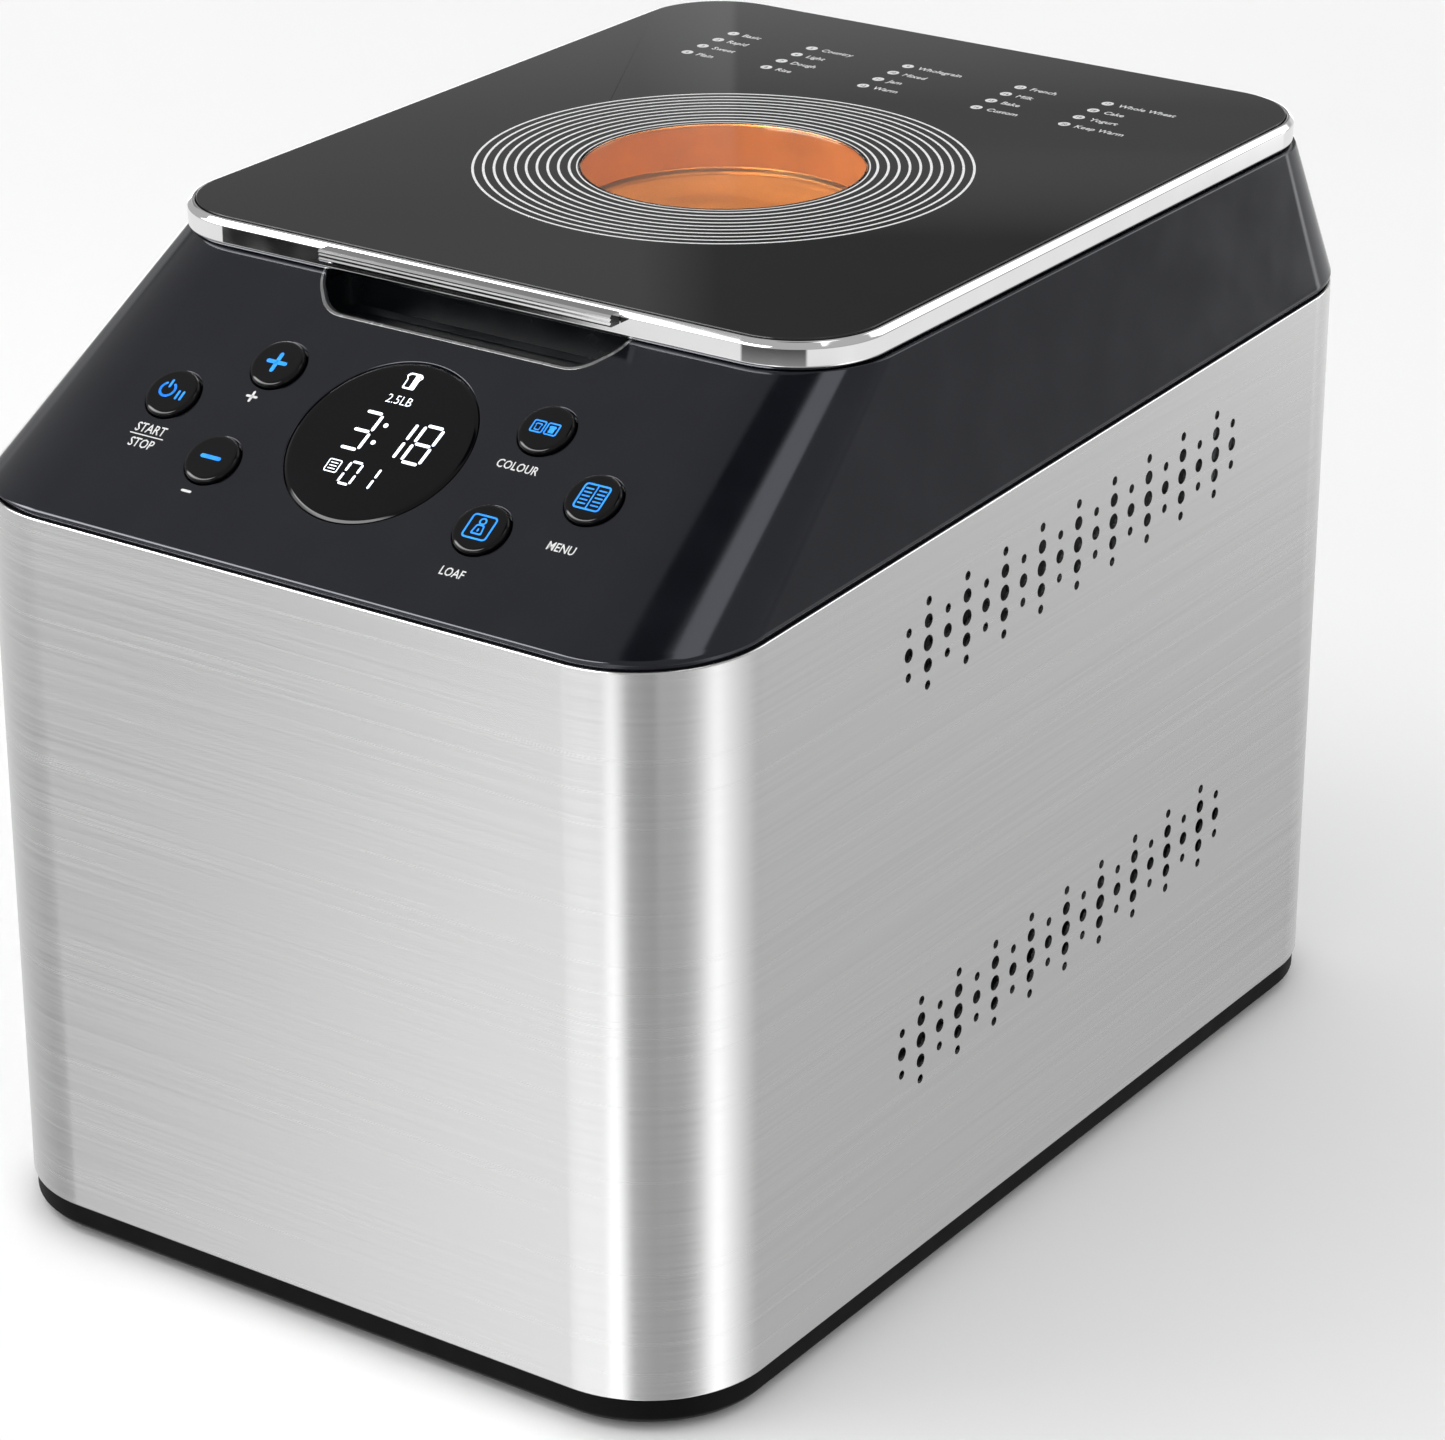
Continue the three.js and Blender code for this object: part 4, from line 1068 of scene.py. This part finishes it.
def lid_handle():
    """Ridged bar across the frame's front: two grooves run its length, its ends are stepped."""
    low, high = corners_mm("lid_handle")
    back, tip, bottom, top = high.y, low.y, low.z, high.z
    grooves = []
    for k in (1, 2):
        z = bottom + (top - bottom) * k / 3
        grooves += [(tip, z - 0.35), (tip + 0.6, z), (tip, z + 0.35)]
    outline = [(back, bottom), (tip + 0.6, bottom), (tip, bottom + 0.6)] + grooves
    outline += [(tip, top - 0.6), (tip + 0.6, top), (back, top)]
    piece("ridged_handle", side_prism(outline, low.x, high.x), "lid", "chrome", ["lid_handle"])


HINGE = {"y": 177, "z": 284, "knuckle": 4, "pin": 1.5, "inner": 62, "outer": 78, "cheek": 9}


def knuckle(start, end):
    """The round end of a hinge part, about the pin."""
    angles = [math.radians(start + (end - start) * i / 16) for i in range(17)]
    radius = HINGE["knuckle"]
    return [(HINGE["y"] + radius * math.cos(a), HINGE["z"] + radius * math.sin(a)) for a in angles]


def hinges():
    y, z = HINGE["y"], HINGE["z"]
    inner, outer, cheek = HINGE["inner"], HINGE["outer"], HINGE["cheek"]
    tip = y + HINGE["knuckle"]
    back = LID_HIGH.y + 0.3
    arm = [(back, 283.8), (y - 2.0, 281.2)] + knuckle(-100, 100) + [(back, 289)]
    ear = [(174.9, 279), (tip, 279)] + knuckle(0, 180)
    foot = [(174.9, 279.6), (tip, 279.6), (184.6, 262), (181.6, 262)]
    bore = side_prism(circle(HINGE["pin"] + 0.3, y, z, 24), inner - 20, outer + 20)
    for side, flip in (("right", Matrix.Identity(4)), ("left", MIRROR_X)):
        bores = [moved(bore, flip)]
        lid_arm = moved(side_prism(arm, inner + 0.3, outer - 0.3), flip)
        piece("lid_arm_" + side, lid_arm, "lid", "matte", ["lid_hinge_arm_" + side],
              cuts=bores, edge=0.4)
        spans = ((inner - cheek, inner - 0.3), (outer + 0.3, outer + cheek))
        ears = [moved(side_prism(ear, *span), flip) for span in spans]
        base = moved(side_prism(foot, inner - cheek, outer + cheek), flip)
        piece("hinge_base_" + side, base, "body", "matte", ["hinge_bracket_" + side],
              joins=ears, cuts=bores, edge=0.35)
        low, high = corners_mm("hinge_pin_" + side)
        pin = moved(rod(HINGE["pin"], low.x, high.x, 0.3, y, z, 24), ALONG_X)
        piece("pin_" + side, pin, "body", "machined", ["hinge_pin_" + side])


# ---------------- oven and pan

def oven_chamber():
    """Pressed metal box with a flange, two beads round its walls, heater clips and three holes."""
    low, high = CHAMBER_LOW.z, CHAMBER_HIGH.z
    outer = chamber_outline(0)
    drive_hole = matching_circle(outer, 9, SPINDLE_Y)
    bead = SHEET + 1.2
    rows = [level(drive_hole, low)] + levels(
        chamber_outline, (0, low), (0, high - SHEET), (-FLANGE, high - SHEET), (-FLANGE, high),
        (SHEET, high),
    )
    for top in (238, 128):
        bulge = ((SHEET, top), (bead, top - 3), (bead, top - 7), (SHEET, top - 10))
        rows += levels(chamber_outline, *bulge)
    rows += [level(chamber_outline(SHEET), low + SHEET), level(drive_hole, low + SHEET)]

    front = CHAMBER_LOW.y + 2
    lead = rear_prism(circle(4.0, HEATER_LEAD, HEATER_Z, 24), front, front + 10)
    leads = [lead, moved(lead, MIRROR_X)]
    sensor = middle_mm("temperature_sensor")
    sensor_hole = side_prism(circle(3.3, sensor.y, sensor.z, 24), 98, 106)

    def clip(across):
        left, right, bottom, top = across - 5, across + 5, HEATER_Z - 6, HEATER_Z + 6
        return rounded_polygon([(left, bottom), (right, bottom), (right, top), (left, top)], 1.5, 3)

    wall = CHAMBER_HIGH.x - FLANGE - 0.5
    back = CHAMBER_HIGH.y - FLANGE - 0.5
    clips = [side_prism(clip(SPINDLE_Y), *span) for span in ((wall - 7, wall), (-wall, 7 - wall))]
    clips.append(rear_prism(clip(0), back - 9, back))
    piece("oven_liner", ring_shape(rows, 0.8, 3), "body", "satin", ["oven_chamber"],
          [merged(*clips)], [merged(*leads), sensor_hole])


def heater():
    low, high = corners_mm("heater_element")
    tube_radius = (high.z - low.z) / 2
    z = (low.z + high.z) / 2
    half_x = high.x - tube_radius
    back = high.y - tube_radius
    front = 2 * SPINDLE_Y - back
    right = [(half_x, back), (half_x, front), (HEATER_LEAD, front), (HEATER_LEAD, low.y)]
    corners = [(-x, y) for x, y in reversed(right)] + right
    element = tube(bent_path(corners, 9, z), tube_radius)
    piece("heating_rod", element, "body", "heater", ["heater_element"])


def bread_pan():
    """Drawn pan with a rolled rim, soft lower corners and a hole for its spindle."""
    low, high = PAN_LOW.z, PAN_HIGH.z
    hole = matching_circle(pan_outline(-8, 23), 7, SPINDLE_Y)
    outside = levels(
        pan_outline, (-8, 23, low), (-5, 26, low + 3), (-0.1, high - 4), (0, high - 2),
        (PAN_LIP, high - 1.6), (PAN_LIP, high),
    )
    inside = levels(
        pan_outline, (-0.3, 23.6, high), (-1.2, 22.8, high - 3), (-6.2, 24.8, low + 4.1),
        (-8.6, 22.4, low + 1.5),
    )
    rows = [level(hole, low), *outside, *inside, level(hole, low + 1.5)]
    piece("pan_shell", ring_shape(rows, 0.7, 4), "pan", "coating", ["bread_pan"])


BAIL_HALF_Y = 92.5    # the bail's pins are this far in front of the spindle and behind it
EAR_WALL = 86.3       # the same for the face of the pan that the bail's ears lie on


def bail():
    """Bent wire with round elbows at its pins, which point in at the ears."""
    low, high = corners_mm("bail_handle")
    wire = (high.z - low.z) / 2
    z = (high.z + low.z) / 2
    reach = high.x - wire
    front, back = SPINDLE_Y - BAIL_HALF_Y, SPINDLE_Y + BAIL_HALF_Y
    corners = [(0, front), (reach, front), (reach, back), (0, back)]
    loop = tube(bent_path(corners, 14, z), wire)
    elbows = [rod(wire, z - wire, z + wire, wire * 0.8, 0, y, 32, 6) for y in (front, back)]
    pin = rod(wire - 0.3, 0, 6, 0.3, steps=24)
    pins = [moved(pin, at(0, y, z) @ ALONG_Y) for y in (front - 0.4, back - 5.6)]
    piece("bail_wire", merged(loop, *elbows, *pins), "bail", "machined", ["bail_handle"])


def bail_brackets():
    """Cranked plates on the pan's ends that hold the bail, with their rivets."""
    wall = EAR_WALL
    outline = [
        (wall, 168), (wall + 1.6, 168), (wall + 1.6, 174), (89.4, 177), (89.4, 189.8), (87.7, 189.8),
        (87.7, 177.6), (wall, 175),
    ]
    plate = side_prism(outline, -8, 8)
    bore = rear_prism(circle(2.4, 0, 184, 24), 80, 95)
    head = lathe([(0, 0), (2.2, 0), (1.8, 0.9), (0, 0.9)], 0.3, steps=24)
    rivets = merged(*(moved(head, at(x, wall + 2.4, 170.8) @ ALONG_Y) for x in (-4.5, 4.5)))
    for side, sign in (("front", -1), ("rear", 1)):
        flip = at(0, SPINDLE_Y, 0) @ Matrix.Scale(sign, 4, (0, 1, 0))
        piece("pan_ear_" + side, moved(plate, flip), "pan", "machined", ["bail_bracket_" + side],
              cuts=[moved(bore, flip)], edge=0.25)
        piece("ear_rivets_" + side, moved(rivets, flip), "pan", "machined")


def paddle():
    low, high = corners_mm("kneading_paddle")
    profile = [(5.3, low.z), (9.5, low.z), (8.5, high.z - 4), (5.3, high.z - 4), (5.3, low.z)]
    hub = lathe(profile, 0.6, 0, SPINDLE_Y, 48)
    blade = rounded_polygon([(6.5, low.z), (44, low.z), (41, 74), (22, high.z), (6.5, 86)], 4, 6)
    turn = at(0, SPINDLE_Y, 0) @ Matrix.Rotation(math.radians(-60), 4, "Z")
    sail = moved(side_prism(blade, -1.6, 1.6), turn)
    piece("paddle", merged(hub, sail), "drive", "coating", ["kneading_paddle"], edge=0.5)


# ---------------- carried-over CAD nodes

INSIDE = {
    "galvanised": ("chassis_plate", "chamber_bracket_right", "chamber_bracket_left", "motor_body",
                   "capacitor_clip"),
    "aluminium": ("pan_seat", "pan_base", "bearing_housing"),
    "machined": ("temperature_sensor", "drive_shaft", "drive_coupler", "pan_spindle", "motor_shaft",
                 "motor_pulley"),
    "nylon": ("drive_pulley",),
    "belt": ("drive_belt",),
    "board": ("control_board", "power_board"),
    "component": ("display_module", "motor_capacitor"),
}


def dress_cad_nodes():
    """Gives each node that stays its material, soft edges and smooth round faces."""
    for look, names in INSIDE.items():
        for name in names:
            node = frame["nodes"][name]
            dress(node, look)
            weld = node.modifiers.new("weld", "WELD")
            weld.merge_threshold = 0.01 * MM
            bevel(node, 0.25, 40)
            even_normals(node)


# ---------------- camera, floor and light

CAMERA = {"azimuth": 34.45, "elevation": 23.82, "distance": 1.458, "target": (0.0120, -0.0010, 0.1238)}


def add_camera():
    azimuth, elevation = math.radians(CAMERA["azimuth"]), math.radians(CAMERA["elevation"])
    back = Vector((
        math.sin(azimuth) * math.cos(elevation),
        -math.cos(azimuth) * math.cos(elevation),
        math.sin(elevation),
    ))
    data = bpy.data.cameras.new("camera")
    data.sensor_width = 36
    data.lens = 120
    camera = bpy.data.objects.new("camera", data)
    camera.location = Vector(CAMERA["target"]) + back * CAMERA["distance"]
    camera.rotation_mode = "QUATERNION"
    camera.rotation_quaternion = (-back).to_track_quat("-Z", "Y")
    bpy.context.scene.collection.objects.link(camera)
    bpy.context.scene.camera = camera


def add_floor():
    half = 12000
    corners = [(x, y, 0) for x, y in ((-half, -half), (half, -half), (half, half), (-half, half))]
    floor = new_object("floor", (corners, [(0, 1, 2, 3)]))
    floor.data.materials.append(surface("pale_floor", grey(0.90), grey(0.92), (0.8, 0.9), 2))
    floor.visible_glossy = False


def add_lamp(name, kind, place, power, color=(1, 1, 1)):
    data = bpy.data.lights.new(name, kind)
    data.energy = power
    data.color = color
    lamp = bpy.data.objects.new(name, data)
    lamp.location = place
    lamp.visible_glossy = False
    bpy.context.scene.collection.objects.link(lamp)
    return lamp


def add_lights():
    """A soft key light above, an amber lamp in the oven and a faint glow inside the lid."""
    key = add_lamp("key", "AREA", (-0.7, -0.6, 1.5), 5)
    key.data.size = 0.9
    key.rotation_mode = "QUATERNION"
    key.rotation_quaternion = (Vector((0, 0, 0.1)) - key.location).to_track_quat("-Z", "Y")
    for name, y, z, power in (
        ("oven_lamp", -30, CHAMBER_HIGH.z - 28, 3),
        ("lid_glow", WINDOW_Y, 281, 0.07),
    ):
        lamp = add_lamp(name, "POINT", Vector((0, y, z)) * MM, power, (1.0, 0.46, 0.12))
        lamp.data.shadow_soft_size = 0.006
        lamp.visible_camera = False
        lamp.visible_transmission = False


# Brightness of the studio below the horizon, by azimuth in degrees: 0 is in front, 90 to the right.
FLOOR_RING = (
    (-180, 0.55), (-120, 0.75), (-60, 0.35), (-47, 0.40), (-43, 0.62), (-40, 0.98), (-36, 1.2),
    (-30, 1.3), (-2, 1.3), (8, 2.1), (13, 1.5), (21, 0.60), (40, 0.44), (54, 0.34), (66, 0.40),
    (77, 0.65), (86, 1.2), (95, 1.75), (106, 1.3), (121, 0.85), (138, 0.48), (149, 0.55),
    (156, 0.40), (180, 0.55),
)

# Panels laid over that: (azimuths), (elevations), softness of their edges in degrees, brightness.
# A softness of two numbers is sideways, upwards.
PANELS = (
    ((-181, 181), (-20.5, -13), 0.6, 0.85),      # pale ring that the lid's frame reflects
    ((-41.0, -36.2), (-20.5, -13), 0.25, 0.01),  # dark flag left of the handle
    ((-31, 44), (-20.5, -13), 3.0, 0.02),        # dark flag at the frame's corner
    ((-181, 181), (-13, 90), 2.0, 0.45),         # walls and ceiling
    ((60, 148), (-13, 4), 2.5, 0.38),            # darker wall beside the black top
    ((149.9, 156), (-14, 6), (4, 7), 2.3),       # gleam at its rear end
    ((156, 181), (-14, 6), 4.0, 0.7),            # wall behind it
    ((-181, -150), (-14, 6), 4.0, 0.7),
    ((-165, -110), (9, 15.9), 1.2, 0.42),        # far wall over the lid, fading upwards
    ((-165, -110), (15.9, 17.6), 1.2, 0.22),
    ((-165, -110), (17.6, 24), 1.0, 0.09),
    ((-145.7, -110), (8, 16), (0.1, 4.0), 0.6),  # lighter door on its left
    ((-145.0, -110), (16, 26), (1.0, 4.0), 0.24),
    ((-165, -125), (-12, 7), 2.0, 2.6),          # lit far wall that only grazing edges catch
    ((-75, 0), (3, 44), 5.0, 4.0),               # front softbox
    ((-75, 0), (26, 44), 5.0, 12.0),             # its brighter upper half
    ((138, 170), (8, 46), 6.0, 2.2),             # right softbox
    ((-181, 181), (78.5, 91), 2.5, 0.0),         # dark ceiling
    ((74, 110), (58, 76), 2.5, 2.2),             # strip light overhead, to the right
)


def studio_world():
    """Even light on everything, and a studio of soft bright and dark walls for the glossy pieces."""
    world = bpy.data.worlds.new("studio")
    bpy.context.scene.world = world
    world.use_nodes = True
    tree = world.node_tree
    tree.nodes.clear()

    def calculate(kind, *values):
        return add_node(tree, "ShaderNodeMath", dict(enumerate(values)), operation=kind).outputs[0]

    direction = add_node(tree, "ShaderNodeTexCoord").outputs["Generated"]
    axes = add_node(tree, "ShaderNodeSeparateXYZ", {0: direction}).outputs
    turn = calculate("ARCTAN2", axes[0], calculate("MULTIPLY", axes[1], -1.0))
    azimuth = calculate("MULTIPLY", turn, 180 / math.pi)
    elevation = calculate("MULTIPLY", calculate("ARCSINE", axes[2]), 180 / math.pi)
    share = calculate("DIVIDE", calculate("ADD", azimuth, 180.0), 360.0)

    def within(angle, low, high, soft):
        rises = spread(tree, angle, 0.0, 1.0, low - soft / 2, low + soft / 2)
        falls = spread(tree, angle, 1.0, 0.0, high - soft / 2, high + soft / 2)
        return calculate("MULTIPLY", rises, falls)

    stops = [((angle + 180) / 360, grey(brightness)) for angle, brightness in FLOOR_RING]
    studio = ramp_node(tree, share, stops).outputs[0]
    for sideways, upwards, soft, brightness in PANELS:
        side_soft, up_soft = soft if isinstance(soft, tuple) else (soft, soft)
        across = within(azimuth, *sideways, side_soft)
        mask = calculate("MULTIPLY", across, within(elevation, *upwards, up_soft))
        panel = (brightness, brightness, brightness, 1)
        studio = add_node(tree, "ShaderNodeMixRGB", {0: mask, 1: studio, 2: panel}).outputs[0]
    path = add_node(tree, "ShaderNodeLightPath").outputs
    even = add_node(tree, "ShaderNodeMixRGB", {0: path["Is Camera Ray"], 1: (0.95, 0.95, 0.95, 1),
                                               2: (1, 1, 1, 1)})
    settings = {0: path["Is Glossy Ray"], 1: even.outputs[0], 2: studio}
    color = add_node(tree, "ShaderNodeMixRGB", settings)
    background = add_node(tree, "ShaderNodeBackground", {0: color.outputs[0], 1: 1.0})
    output = add_node(tree, "ShaderNodeOutputWorld")
    tree.links.new(background.outputs[0], output.inputs[0])


# ---------------- everything together

bpy.context.scene.view_settings.view_transform = "Standard"

add_camera()
add_floor()
studio_world()
add_lights()

steel_case()
base_tray()
feet()
rear_panel()
top_housing()
finger_pocket()
display_disc()
display_readout()
keys()
key_labels()
lid_frame()
lid_glass()
window_sleeve()
lid_rings()
program_list()
lid_liner()
lid_handle()
hinges()
oven_chamber()
heater()
bread_pan()
bail()
bail_brackets()
paddle()
dress_cad_nodes()
